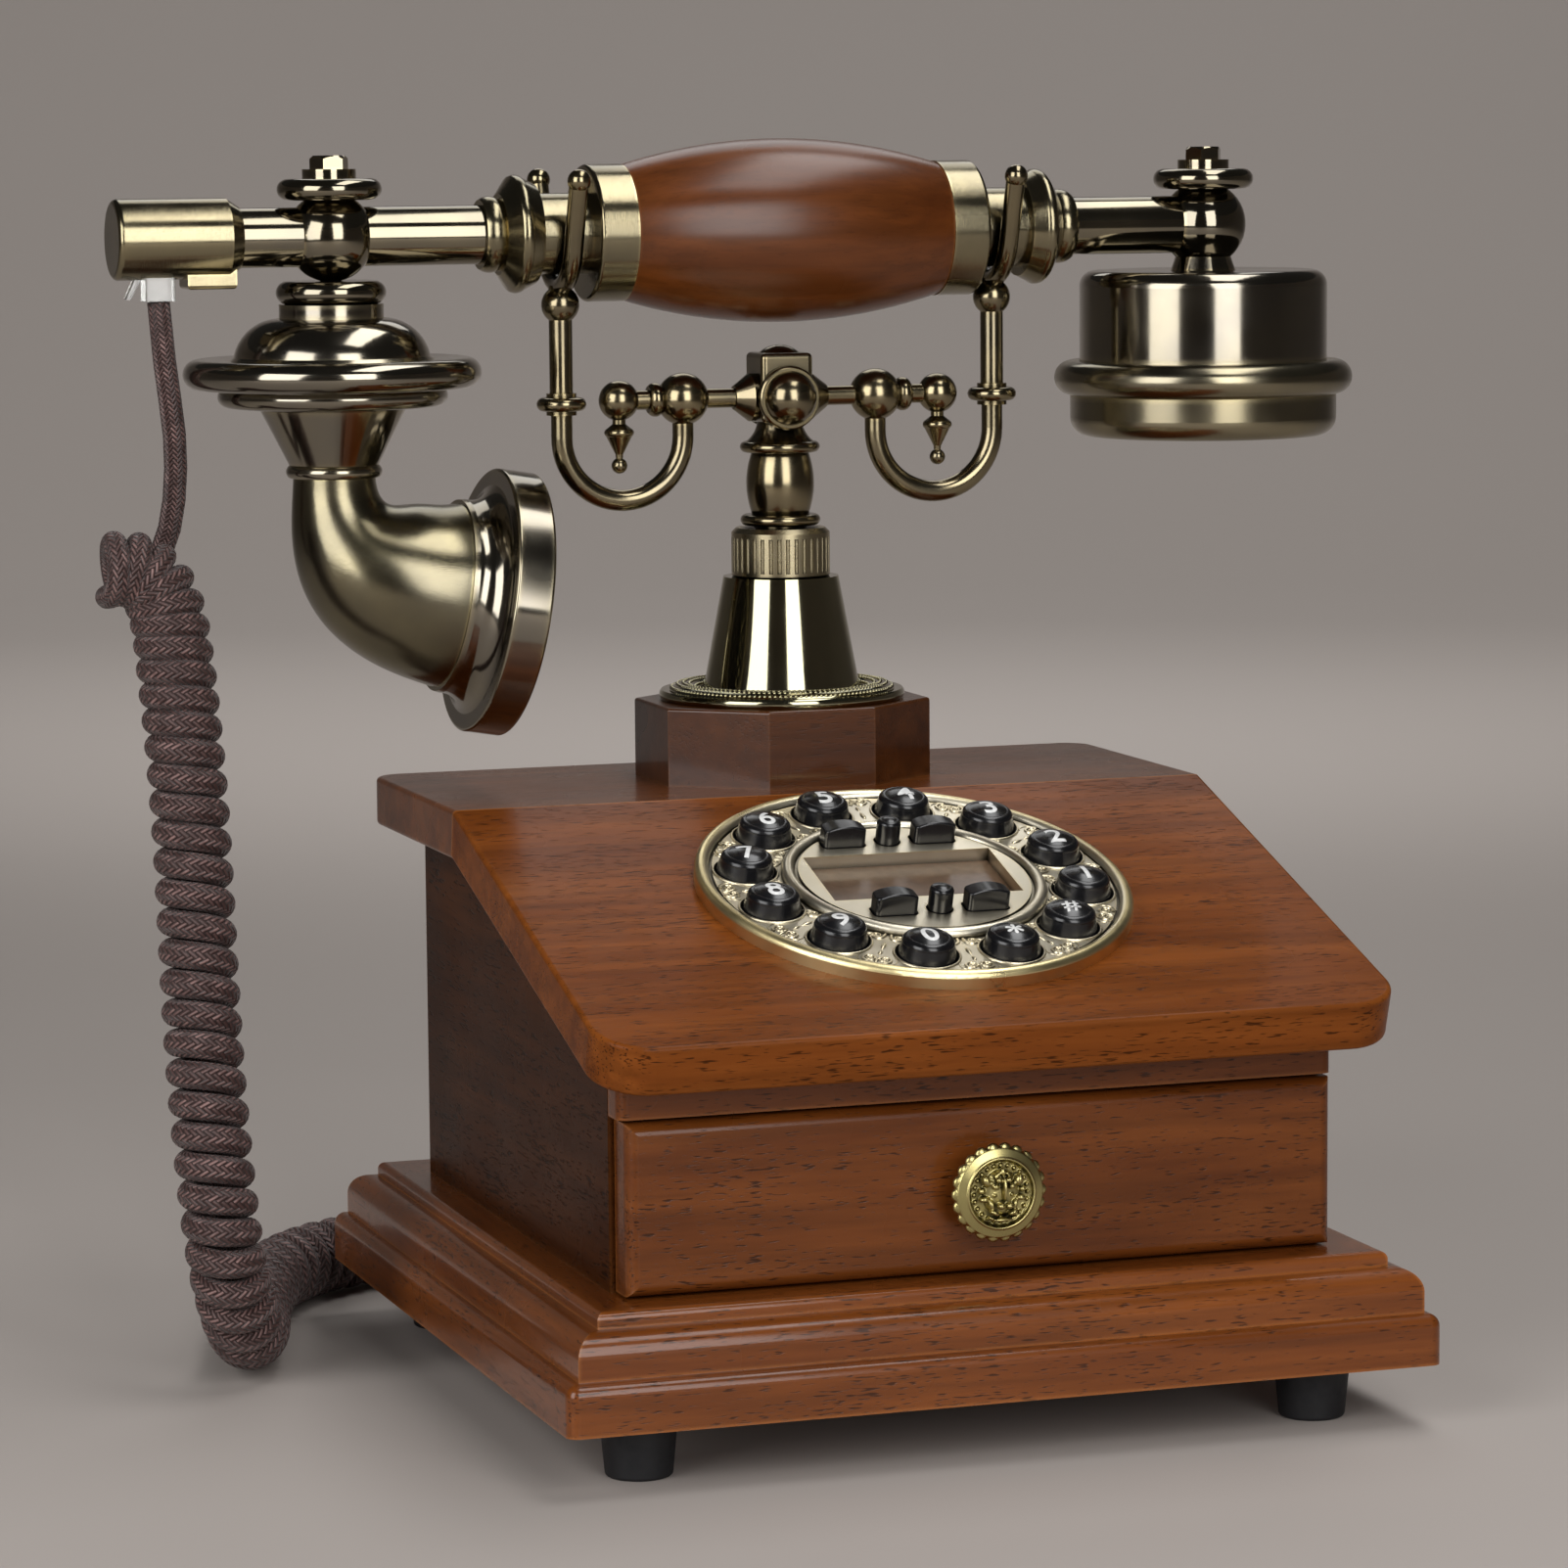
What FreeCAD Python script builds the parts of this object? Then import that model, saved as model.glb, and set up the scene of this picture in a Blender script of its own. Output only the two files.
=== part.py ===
import FreeCAD, Part
import math
import os

# French-style cradle telephone with a drawer and a ring of push buttons.
# X runs to the right along the front, Y to the back and Z up, in millimetres.
# All is modelled from the floor under the middle of the base, and at the end it moves along X so that
# the origin lies under the middle of the whole without its cord.

os.makedirs("parts", exist_ok=True)
V = FreeCAD.Vector
ORIGIN = V(0, 0, 0)
X_AXIS = V(1, 0, 0)
Y_AXIS = V(0, 1, 0)
Z_AXIS = V(0, 0, 1)

# Fits
slide_gap = 0.6
turn_gap = 0.4
plug_gap = 0.3

# Base
base_width = 220.0
base_depth = 222.0
foot_height = 15.5
foot_radius = 9.5
foot_inset = 24.0
board_thick = 12.3
board_round = 3.0
moulding_inset = 3.5
moulding_lip = 5.2
moulding_round = 5.5
fillet_inset = 1.2
fillet_height = 3.7

# Case and slab
case_width = 181.0
case_depth = 173.0
case_front_inset = 20.0
panel_thick = 5.0
panel_round = 0.8
slab_width = 200.8
slab_thick = 12.5
slab_top = 145.5
slab_angle = 17.5
slab_back_overhang = 18.0
flat_depth = 82.4
slope_length = 134.7
back_corner_radius = 8.0
front_corner_radius = 13.0
slab_round = 1.2
shelf_thick = 5.0
rail_thick = 8.0
rail_round = 2.5

# Drawer
drawer_opening = 42.3
drawer_front_thick = 10.0
drawer_round = 3.0
drawer_inset = 1.2
tray_wall = 5.0
tray_floor = 3.5
tray_back_gap = 9.0
tray_rim_drop = 5.0
knob_radius = 12.6
knob_lobes = 22
knob_beads = 22
knob_standoff = 7.0
knob_thick = 3.0

# Plinth and post
plinth_width = 71.4
plinth_depth = 64.8
plinth_height = 20.2
plinth_cut_x = 21.4
plinth_cut_y = 18.0
flange_radius = 32.0
flange_thick = 2.6
cone_bottom_radius = 20.4
cone_top_radius = 15.0
cone_height = 29.3
collar_radius = 12.8
collar_height = 12.6
flute_count = 36
flute_radius = 0.55

# Cradle
plunger_radius = 6.5
plunger_drop = 16.5
spring_collar_radius = 10.5
spring_collar_thick = 2.5
cradle_travel = 5.0
column_ring_radius = 10.4
column_ring_height = 2.8
bulb_radius = 8.8
bulb_height = 16.1
neck_taper_height = 5.0
head_width = 14.0
head_height = 18.0
head_dome = 2.2
cap_radius = 8.3
arm_radius = 2.5
big_ball_x = 26.3
big_ball_radius = 6.8
arm_ring_x = 33.8
arm_ring_radius = 4.4
small_ball_x = 43.5
small_ball_radius = 5.2
pendant_radius = 3.85
hook_x = 58.8
hook_radius = 2.75
hook_drop = 9.4
hook_bead_radius = 6.4
hook_bead_height = 5.6
stem_radius = 3.0
yoke_radius = 4.9
prong_radius = 2.5
prong_tip_radius = 3.0
prong_length = 18.6
prong_lean = 18.6

# Handset
handset_rise = 42.9
grip_half = 42.5
grip_radius = 23.6
grip_end_radius = 17.2
ferrule_radius = 17.5
ferrule_length = 10.0
neck_radius = 10.3
flange_start = 66.0
bead_radius = 15.0
bead_length = 9.0
bead_collar_radius = 9.7
bead_collar_length = 5.0
tube_radius = 7.5
tube_wall = 1.6
ball_x = 118.8
ball_radius = 11.3
washer_radius = 13.2
washer_height = 5.3
nut_seat_radius = 6.8
nut_seat_height = 2.4
nut_flats = 8.6
nut_height = 3.4
cap_start = 142.5
cap_length = 32.0
cap_outer_radius = 10.1
socket_x = 163.0
canopy_radius = 24.8
canopy_height = 21.1
canopy_step_radius = 13.2
canopy_step_height = 3.5
saucer_radius = 37.6
saucer_thick = 7.5
saucer_round = 4.0
bowl_radius = 29.0
bowl_height = 4.6
cup_radius = 18.4
cup_height = 22.5
cup_ring_height = 3.0
elbow_radius = 10.4
elbow_end_radius = 23.7
elbow_reach = 28.8
elbow_fall = 30.9
bell_tilt = 9.5
bell_radius = 33.9
bell_thick = 10.0
bell_collar = 8.5
receiver_radius = 32.8
receiver_height = 23.7
receiver_bead_radius = 39.5
receiver_bead_height = 9.0
receiver_cap_radius = 35.3
receiver_cap_height = 20.0
ear_ledge = 7.0
ear_hole_radius = 14.0
earpiece_thick = 6.0
receiver_wall = 3.0
horn_wall = 2.0

# Dial and keys
dial_from_bend = 61.0
dial_radius = 54.0
dial_seat = 3.5
plate_thick = 3.0
rim_height = 4.3
rim_width = 3.6
rim_groove = 0.7
inner_ring_radius = 31.0
inner_ring_width = 1.6
inner_ring_height = 5.2
inner_floor = 4.4
key_circle = 41.5
key_radius = 7.2
key_shoulder_radius = 6.4
key_round = 1.6
key_top = 7.9
key_crown = 1.0
key_flange = 1.0
key_flange_thick = 1.4
key_travel = 1.5
wide_key_length = 10.8
wide_key_width = 5.2
wide_key_corner = 1.2
wide_key_arch = 1.2
wide_key_rise = 5.5
round_key_radius = 3.0
round_key_rise = 5.9
function_key_step = 11.8
upper_row = 21.0
lower_row = -18.4
display_width = 48.6
display_height = 25.0
display_rise = 1.5
display_recess = 3.4
board_drop = 4.2

# Plugs, jacks and cord
plug_width = 7.6
plug_height = 6.5
plug_length = 11.7
plug_inside = 6.5
jack_size = 13.0
jack_depth = 14.0
jack_height = 14.0
jack_proud = 0.8
handset_jack_x = 10.0
line_jack_x = 50.0
wire_radius = 3.0
coil_radius = 6.65
coil_clearance = 0.8
cord_end_gap = 0.2

# Levels and places worked out from the driving dimensions
board_top = foot_height + board_thick
moulding_top = board_top + moulding_lip + moulding_round
case_bottom = moulding_top + fillet_height
case_front = case_front_inset - base_depth / 2
case_back = case_front + case_depth
carcass_front = case_front + drawer_front_thick + slide_gap
rail_front = carcass_front - rail_thick
slab_back = case_back + slab_back_overhang
bend_y = slab_back - flat_depth
slab_under = slab_top - slab_thick
slope = math.radians(slab_angle)
under_bend_y = bend_y + slab_thick * math.tan(slope / 2)
shelf_bottom = case_bottom + drawer_opening
post_y = bend_y + flat_depth / 2
plinth_top = slab_top + plinth_height
cone_bottom = plinth_top + flange_thick
collar_bottom = cone_bottom + cone_height
collar_top = collar_bottom + collar_height
column_bottom = collar_top + slide_gap
head_bottom = column_bottom + 2 * column_ring_height + bulb_height + neck_taper_height
arm_z = head_bottom + 0.36 * head_height
handset_z = arm_z + handset_rise
bore_radius = plunger_radius + turn_gap
fork_radius = neck_radius + turn_gap + prong_radius
plunger_bottom = slab_under - plunger_drop
spring_top = slab_under - cradle_travel - slide_gap - spring_collar_thick
inner_half_width = case_width / 2 - panel_thick
tray_length = case_depth - drawer_front_thick - jack_depth - tray_back_gap
left_reach = cap_start + cap_length
right_reach = ball_x + receiver_bead_radius


def box(x0, x1, y0, y1, z0, z1):
    return Part.makeBox(x1 - x0, y1 - y0, z1 - z0, V(x0, y0, z0))


def cylinder(radius, start, direction, length):
    return Part.makeCylinder(radius, length, start, direction)


def arc_by(centre, radius, middle, end):
    """A step of an outline: an arc round a centre, by its angles in degrees."""
    def place(angle):
        turn = math.radians(angle)
        return (centre[0] + radius * math.cos(turn), centre[1] + radius * math.sin(turn))
    return (place(middle), place(end))


def dome_to_axis(radius, edge_z, axis_z):
    """A step of an outline: an arc from an edge to the axis, round a centre on the axis."""
    depth = edge_z - axis_z
    ball = (radius ** 2 + depth ** 2) / (2 * depth)
    half_turn = math.atan2(radius, abs(ball) - abs(depth)) / 2
    middle = (abs(ball) * math.sin(half_turn), axis_z + ball - ball * math.cos(half_turn))
    return (middle, (0, axis_z))


def outline_face(steps, put):
    """A closed face. A step is a point, or two points for an arc through the first to the second."""
    edges = []
    here = put(steps[0])
    for step in steps[1:] + steps[:1]:
        if isinstance(step[0], tuple):
            there = put(step[1])
            edges.append(Part.Arc(here, put(step[0]), there).toShape())
        else:
            there = put(step)
            if (there - here).Length > 1e-6:
                edges.append(Part.LineSegment(here, there).toShape())
        here = there
    return Part.Face(Part.Wire(edges))


def turned(steps):
    """A solid turned about Z from an outline of (radius, height) steps."""
    face = outline_face(steps, lambda p: V(p[0], 0, p[1]))
    return face.revolve(ORIGIN, Z_AXIS, 360)


def along_x(shape):
    """Lay a piece turned about Z along +X."""
    return shape.rotated(ORIGIN, Y_AXIS, 90)


def along_y(shape, direction):
    """Lay a piece turned about Z along +Y or -Y."""
    return shape.rotated(ORIGIN, X_AXIS, -90 * direction)


def moved(shape, x, y, z):
    return shape.translated(V(x, y, z))


def mirrored(shape):
    return shape.mirror(ORIGIN, X_AXIS)


def both_sides(shape):
    return Part.makeCompound([shape, mirrored(shape)])


def one_solid(shape, *others):
    whole = shape.fuse(list(others)) if others else shape
    return whole.removeSplitter()


def side_profile(points, x0, x1):
    """A solid of a YZ outline, from x0 to x1."""
    face = outline_face(points, lambda p: V(x0, p[0], p[1]))
    return face.extrude(V(x1 - x0, 0, 0))


def rounded(shape, radius, wanted):
    """Round the edges whose middle and direction pass a test."""
    chosen = []
    for edge in shape.Edges:
        first, last = edge.Vertexes[0].Point, edge.Vertexes[-1].Point
        if wanted(edge.CenterOfMass, last - first):
            chosen.append(edge)
    return shape.makeFillet(radius, chosen)


def slope_under(y):
    """Height of the slope board's underside at a depth y."""
    return slab_under - (under_bend_y - y) * math.tan(slope)


def on_slope(shape):
    """Move a piece made flat about the origin to the dial's place on the slope board."""
    turned_up = shape.rotated(ORIGIN, X_AXIS, slab_angle)
    middle_y = bend_y - dial_from_bend * math.cos(slope)
    middle_z = slab_top - dial_from_bend * math.sin(slope)
    return moved(turned_up, 0, middle_y, middle_z)


# Base

def base_board():
    half_x, half_y = base_width / 2, base_depth / 2
    board = box(-half_x, half_x, -half_y, half_y, foot_height, board_top)
    board = rounded(board, board_round, lambda m, d: abs(d.z) > 1)
    return rounded(board, board_round, lambda m, d: abs(m.z - board_top) < 0.01)


def base_moulding():
    half_x, half_y = base_width / 2 - moulding_inset, base_depth / 2 - moulding_inset
    ovolo = box(-half_x, half_x, -half_y, half_y, board_top, moulding_top)
    ovolo = rounded(ovolo, moulding_round, lambda m, d: abs(m.z - moulding_top) < 0.01)
    half_x -= moulding_round + fillet_inset
    half_y -= moulding_round + fillet_inset
    strip = box(-half_x, half_x, -half_y, half_y, moulding_top, case_bottom)
    strip = rounded(strip, fillet_height / 2, lambda m, d: abs(m.z - case_bottom) < 0.01)
    return one_solid(ovolo, strip)


def rubber_feet():
    lower = foot_radius - 1.4
    foot = turned([
        (0, 0), (lower - 1, 0), arc_by((lower - 1, 1), 1, -45, 0),
        (foot_radius, foot_height), (0, foot_height),
    ])
    feet = []
    for x in (-1, 1):
        for y in (-1, 1):
            feet.append(moved(foot, x * (base_width / 2 - foot_inset), y * (base_depth / 2 - foot_inset), 0))
    return Part.makeCompound(feet)


# Case

def side_panels():
    """Side walls of the carcass. The rail and the drawer's front lie before their front edges."""
    outline = [
        (carcass_front, case_bottom), (case_back, case_bottom), (case_back, slab_under),
        (under_bend_y, slab_under), (carcass_front, slope_under(carcass_front)),
    ]
    panel = side_profile(outline, inner_half_width, case_width / 2)
    panel = rounded(
        panel, panel_round,
        lambda m, d: abs(m.y - carcass_front) < 0.01 and abs(d.z) > 1 and m.x > inner_half_width + 1,
    )
    return both_sides(panel)


def jack_places():
    return [handset_jack_x, line_jack_x]


def jack_z():
    return case_bottom + jack_height


def back_panel():
    inside = case_back - panel_thick
    panel = box(-inner_half_width, inner_half_width, inside, case_back, case_bottom, slab_under)
    half = jack_size / 2
    low, high = jack_z() - half, jack_z() + half
    holes = [box(x - half, x + half, inside - 1, case_back + 1, low, high) for x in jack_places()]
    return panel.cut(holes)


def divider_shelf():
    """The board over the drawer, with the full-width rail that shows under the slab."""
    shelf = box(
        -inner_half_width, inner_half_width, carcass_front - 1, case_back - panel_thick,
        shelf_bottom, shelf_bottom + shelf_thick,
    )
    outline = [
        (rail_front, shelf_bottom), (carcass_front, shelf_bottom),
        (carcass_front, slope_under(carcass_front)), (rail_front, slope_under(rail_front)),
    ]
    rail = side_profile(outline, -case_width / 2, case_width / 2)
    rail = rounded(rail, rail_round, lambda m, d: abs(m.y - rail_front) < 0.01 and abs(d.z) > 1)
    return one_solid(rail, shelf)


def top_board():
    outline = [(bend_y, slab_top), (slab_back, slab_top), (slab_back, slab_under), (under_bend_y, slab_under)]
    board = side_profile(outline, -slab_width / 2, slab_width / 2)
    board = rounded(board, back_corner_radius, lambda m, d: abs(d.z) > 1 and m.y > slab_back - 1)
    board = rounded(
        board, slab_round,
        lambda m, d: min(abs(m.z - slab_top), abs(m.z - slab_under)) < 0.01
        and not (abs(d.x) > slab_width / 2 and m.y < under_bend_y + 1),
    )
    return board.cut(cylinder(bore_radius, V(0, post_y, slab_under - 1), Z_AXIS, slab_thick + 2))


def slope_board():
    """Made lying flat with its bend edge on the X axis, then swung down to its slope."""
    mitre = slab_thick * math.tan(slope / 2)
    outline = [(0, 0), (-slope_length, 0), (-slope_length, -slab_thick), (-mitre, -slab_thick)]
    board = side_profile(outline, -slab_width / 2, slab_width / 2)
    board = rounded(board, front_corner_radius, lambda m, d: abs(d.z) > 1 and m.y < 1 - slope_length)
    board = rounded(
        board, slab_round,
        lambda m, d: min(abs(m.z), abs(m.z + slab_thick)) < 0.01
        and not (abs(d.x) > slab_width / 2 and m.y > -slope_length / 2),
    )
    hole_low = V(0, -dial_from_bend, 1 - 2 * slab_thick)
    board = board.cut(cylinder(dial_radius - dial_seat, hole_low, Z_AXIS, 2 * slab_thick))
    return moved(board.rotated(ORIGIN, X_AXIS, slab_angle), 0, bend_y, slab_top)


# Drawer

def drawer_front():
    half = case_width / 2 - drawer_inset
    front = box(
        -half, half, case_front, case_front + drawer_front_thick,
        case_bottom + slide_gap, shelf_bottom - slide_gap,
    )
    return rounded(front, drawer_round, lambda m, d: abs(m.y - case_front) < 0.01)


def drawer_tray():
    half = inner_half_width - 2 * slide_gap
    front = case_front + drawer_front_thick
    low, high = case_bottom + slide_gap, shelf_bottom - tray_rim_drop
    outer = box(-half, half, front, front + tray_length, low, high)
    inner = box(
        -half + tray_wall, half - tray_wall, front + tray_wall, front + tray_length - tray_wall,
        low + tray_floor, high + 1,
    )
    return outer.cut(inner)


def drawer_knob():
    """Scalloped rosette on a short stem, with a beaded ring and a small lion mask."""
    face = knob_standoff + knob_thick
    ring = 0.7 * knob_radius
    lobe = 0.9 * math.pi * knob_radius / knob_lobes
    disc = knob_radius - lobe
    rosette = turned([
        (0, 0), (5.4, 0), (3.6, 2.2), (3.6, knob_standoff - 1.5), (6.5, knob_standoff),
        (disc, knob_standoff), (disc, face - 0.5), (ring + 0.9, face - 0.9),
        arc_by((ring, face - 0.9), 0.9, 90, 180),
        (ring - 2.6, face - 0.9), (0, face - 0.9),
    ])
    trim = []
    for i in range(knob_lobes):
        turn = 2 * math.pi * i / knob_lobes
        place = V(disc * math.cos(turn), disc * math.sin(turn), knob_standoff)
        trim.append(cylinder(lobe, place, Z_AXIS, knob_thick - 0.5))
    for i in range(knob_beads):
        turn = 2 * math.pi * i / knob_beads
        place = V((ring - 1.8) * math.cos(turn), (ring - 1.8) * math.sin(turn), face - 0.8)
        trim.append(Part.makeSphere(0.8, place))
    skull = turned([(0, face - 1), (5.8, face - 1), dome_to_axis(5.8, face - 1, face + 2.8)])
    muzzle = Part.makeSphere(2.5, V(0, -1.7, face + 2.2))
    brow = Part.makeSphere(2.0, V(0, 1.9, face + 1.5))
    ears = [Part.makeSphere(1.5, V(x, 3.6, face + 0.6)) for x in (-3.4, 3.4)]
    knob = one_solid(rosette, *trim, skull, muzzle, brow, *ears)
    knob = along_y(knob, -1)
    return moved(knob, 0, case_front, (case_bottom + shelf_bottom) / 2)


# Plinth and post

def post_plinth():
    half_x, half_y = plinth_width / 2, plinth_depth / 2
    face_x, face_y = half_x - plinth_cut_x, half_y - plinth_cut_y
    corners = [
        (face_x, -half_y), (half_x, -face_y), (half_x, face_y), (face_x, half_y),
        (-face_x, half_y), (-half_x, face_y), (-half_x, -face_y), (-face_x, -half_y),
    ]
    block = outline_face(corners, lambda p: V(p[0], p[1] + post_y, slab_top)).extrude(V(0, 0, plinth_height))
    block = rounded(block, 0.8, lambda m, d: abs(m.z - plinth_top) < 0.01)
    return block.cut(cylinder(bore_radius, V(0, post_y, slab_top - 1), Z_AXIS, plinth_height + 2))


def post_cone():
    """Flange with a rope bead on top, and the polished cone that rises from it."""
    rope_outer, rope_inner = flange_radius - 2.5, cone_bottom_radius + 1.5
    rope_middle = (rope_outer + rope_inner) / 2
    cone = turned([
        (bore_radius, 0), (flange_radius - 0.6, 0),
        ((flange_radius, flange_thick / 2), (flange_radius - 0.6, flange_thick)),
        (rope_outer, flange_thick), ((rope_middle, flange_thick + 1.6), (rope_inner, flange_thick)),
        (cone_bottom_radius, flange_thick), (cone_top_radius, flange_thick + cone_height),
        (bore_radius, flange_thick + cone_height),
    ])
    return moved(cone, 0, post_y, plinth_top)


def fluted_collar():
    lip = 1.2
    collar = turned([
        (bore_radius, 0), (collar_radius - 0.4, 0), (collar_radius, 0.4),
        (collar_radius, collar_height - lip), (collar_radius - lip, collar_height),
        (bore_radius, collar_height),
    ])
    cutters = []
    for i in range(flute_count):
        turn = 2 * math.pi * i / flute_count
        place = V(collar_radius * math.cos(turn), collar_radius * math.sin(turn), lip)
        cutters.append(cylinder(flute_radius, place, Z_AXIS, collar_height - 3 * lip))
    return moved(collar.cut(cutters), 0, post_y, collar_bottom)


# Cradle

def cradle_column():
    ring0 = column_bottom
    ring1 = ring0 + column_ring_height
    ring2 = ring1 + bulb_height
    ring3 = ring2 + column_ring_height
    core = column_ring_radius - 1.2
    slim = bulb_radius - 1.4
    half = head_width / 2
    column = turned([
        (0, plunger_bottom), (plunger_radius, plunger_bottom), (plunger_radius, spring_top),
        (spring_collar_radius, spring_top), (spring_collar_radius, spring_top + spring_collar_thick),
        (plunger_radius, spring_top + spring_collar_thick), (plunger_radius, ring0),
        (core, ring0), ((column_ring_radius, (ring0 + ring1) / 2), (core, ring1)),
        (slim, ring1), ((bulb_radius, ring1 + 0.55 * bulb_height), (slim, ring2)),
        (core, ring2), ((column_ring_radius, (ring2 + ring3) / 2), (core, ring3)),
        (bulb_radius, ring3), ((half - 0.4, ring3 + 0.52 * neck_taper_height), (half - 1.2, head_bottom + 1)),
        (0, head_bottom + 1),
    ])
    head = box(-half, half, -half, half, head_bottom, head_bottom + head_height)
    head = rounded(head, 1.4, lambda m, d: True)
    low = head_bottom + head_height - 0.2
    edge = half - 1.6
    dome = turned([(0, low - 1), (edge, low - 1), (edge, low), dome_to_axis(edge, low, low + head_dome)])
    return moved(one_solid(column, head, dome), 0, post_y, 0)


def cap_nuts():
    dome = cap_radius - 1.3
    nut = turned([
        (0, 0), (cap_radius - 0.6, 0), ((cap_radius, 1.0), (cap_radius - 0.6, 2.0)),
        (dome, 2.0), dome_to_axis(dome, 2.0, 2.0 + 0.86 * dome),
    ])
    front = moved(along_y(nut, -1), 0, post_y - head_width / 2, arm_z)
    back = moved(along_y(nut, 1), 0, post_y + head_width / 2, arm_z)
    return Part.makeCompound([front, back])


def right_arm():
    """Turned arm with its balls, and the pendant drop under the outer ball."""
    start = head_width / 2
    neck = start + 5.5
    ring = (arm_ring_x - 1.8, arm_ring_x + 1.8)
    rod = turned([
        (0, start), (6.2, start), (6.2, start + 1.4), (arm_radius + 0.6, neck), (arm_radius, neck),
        (arm_radius, ring[0]), (arm_ring_radius - 1, ring[0]),
        ((arm_ring_radius, arm_ring_x), (arm_ring_radius - 1, ring[1])),
        (arm_radius, ring[1]), (arm_radius, small_ball_x), (0, small_ball_x),
    ])
    balls = [
        Part.makeSphere(big_ball_radius, V(0, 0, big_ball_x)),
        Part.makeSphere(small_ball_radius, V(0, 0, small_ball_x)),
    ]
    arm = along_x(one_solid(rod, *balls))
    top = -small_ball_radius + 0.4
    drop = turned([
        (0, top), (1.7, top), (1.7, top - 1.2), (pendant_radius - 0.6, top - 2.4),
        ((pendant_radius, top - 3.4), (pendant_radius - 0.5, top - 4.4)),
        (1.0, top - 9.0), (0.9, top - 10.2), (0, top - 10.2),
    ])
    bead = Part.makeSphere(2.05, V(0, 0, top - 11.9))
    pendant = moved(one_solid(drop, bead), small_ball_x, 0, 0)
    return moved(one_solid(arm, pendant), 0, post_y, arm_z)


def right_hook():
    """U-shaped rod from the big ball to a beaded stem and the two-pronged fork."""
    bend = (hook_x - big_ball_x) / 2
    low = arm_z - hook_drop
    bead_low = arm_z - 0.6 * hook_bead_height
    fork_z = handset_z
    inner = cylinder(hook_radius, V(big_ball_x, 0, low), Z_AXIS, hook_drop)
    u_bend = Part.makeTorus(bend, hook_radius, ORIGIN, Z_AXIS, -180, 180, 180)
    u_bend = moved(u_bend.rotated(ORIGIN, X_AXIS, -90), (hook_x + big_ball_x) / 2, 0, low)
    outer = cylinder(hook_radius, V(hook_x, 0, low), Z_AXIS, bead_low - low)
    bead = turned([
        (0, 0), (stem_radius + 0.9, 0), (stem_radius + 0.9, 1.2),
        ((hook_bead_radius, hook_bead_height / 2), (stem_radius + 0.9, hook_bead_height - 1.2)),
        (stem_radius + 0.9, hook_bead_height), (0, hook_bead_height),
    ])
    yoke_z = fork_z - fork_radius - yoke_radius
    stem = cylinder(stem_radius, V(hook_x, 0, bead_low), Z_AXIS, yoke_z - bead_low)
    yoke = Part.makeSphere(yoke_radius, V(hook_x, 0, yoke_z))
    web = cylinder(stem_radius, V(hook_x, 0, yoke_z), Z_AXIS, yoke_radius)
    saddle = Part.makeTorus(fork_radius, prong_radius, ORIGIN, Z_AXIS, -180, 180, 180 - 2 * prong_lean)
    saddle = saddle.rotated(ORIGIN, Z_AXIS, 180 + prong_lean).rotated(ORIGIN, X_AXIS, 90)
    saddle = moved(saddle.rotated(ORIGIN, Z_AXIS, 90), hook_x, 0, fork_z)
    lean = math.radians(prong_lean)
    pieces = [u_bend, outer, moved(bead, hook_x, 0, bead_low), stem, yoke, web, saddle]
    for side in (-1, 1):
        foot = V(hook_x, side * fork_radius * math.cos(lean), fork_z - fork_radius * math.sin(lean))
        rise = V(0, side * math.sin(lean), math.cos(lean))
        pieces.append(cylinder(prong_radius, foot, rise, prong_length))
        pieces.append(Part.makeSphere(prong_tip_radius, foot + rise * prong_length))
    hook = moved(one_solid(inner, *pieces), 0, post_y, 0)
    return hook.cut(right_arm())


# Handset, made along X about its own middle and then lifted to its place

def in_cradle(shape):
    return moved(shape, 0, post_y, handset_z)


def handset_grip():
    half = grip_half
    barrel = ((grip_radius, 0), (grip_end_radius, half))
    grip = turned([(tube_radius, -half), (grip_end_radius, -half), barrel, (tube_radius, half)])
    return in_cradle(along_x(grip))


def ferrules():
    start, end = grip_half, grip_half + ferrule_length
    ring = turned([
        (tube_radius, start), (ferrule_radius, start), (ferrule_radius, end - 1),
        arc_by((ferrule_radius - 1, end - 1), 1, 45, 90), (tube_radius, end),
    ])
    return in_cradle(both_sides(along_x(ring)))


def neck_collars():
    """Neck that the fork holds, then a double-cone bead and a round collar."""
    start = grip_half + ferrule_length
    ridge = flange_start + 0.55 * bead_length
    bead_end = flange_start + bead_length
    collar_end = bead_end + bead_collar_length
    collar = turned([
        (tube_radius, start), (neck_radius, start), (neck_radius, flange_start),
        (bead_radius - 2.2, flange_start), (bead_radius - 0.5, ridge - 1.6),
        ((bead_radius, ridge), (bead_radius - 0.5, ridge + 1.2)), (bead_collar_radius + 0.6, bead_end),
        (bead_collar_radius - 0.9, bead_end),
        ((bead_collar_radius, (bead_end + collar_end) / 2), (bead_collar_radius - 0.9, collar_end)),
        (tube_radius, collar_end),
    ])
    return in_cradle(both_sides(along_x(collar)))


def handset_tube():
    start, end = -cap_start - 9.0, ball_x
    bore = tube_radius - tube_wall
    tube = turned([(bore, start), (tube_radius, start), (tube_radius, end), (bore, end)])
    return in_cradle(along_x(tube))


def tube_bore(start, end):
    return cylinder(tube_radius, V(start, 0, 0), X_AXIS, end - start)


def mouth_top():
    """Height of the mouthpiece canopy's top under the handset's axis."""
    return -ball_radius - 5.5


def receiver_top():
    return -ball_radius - 0.8


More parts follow.
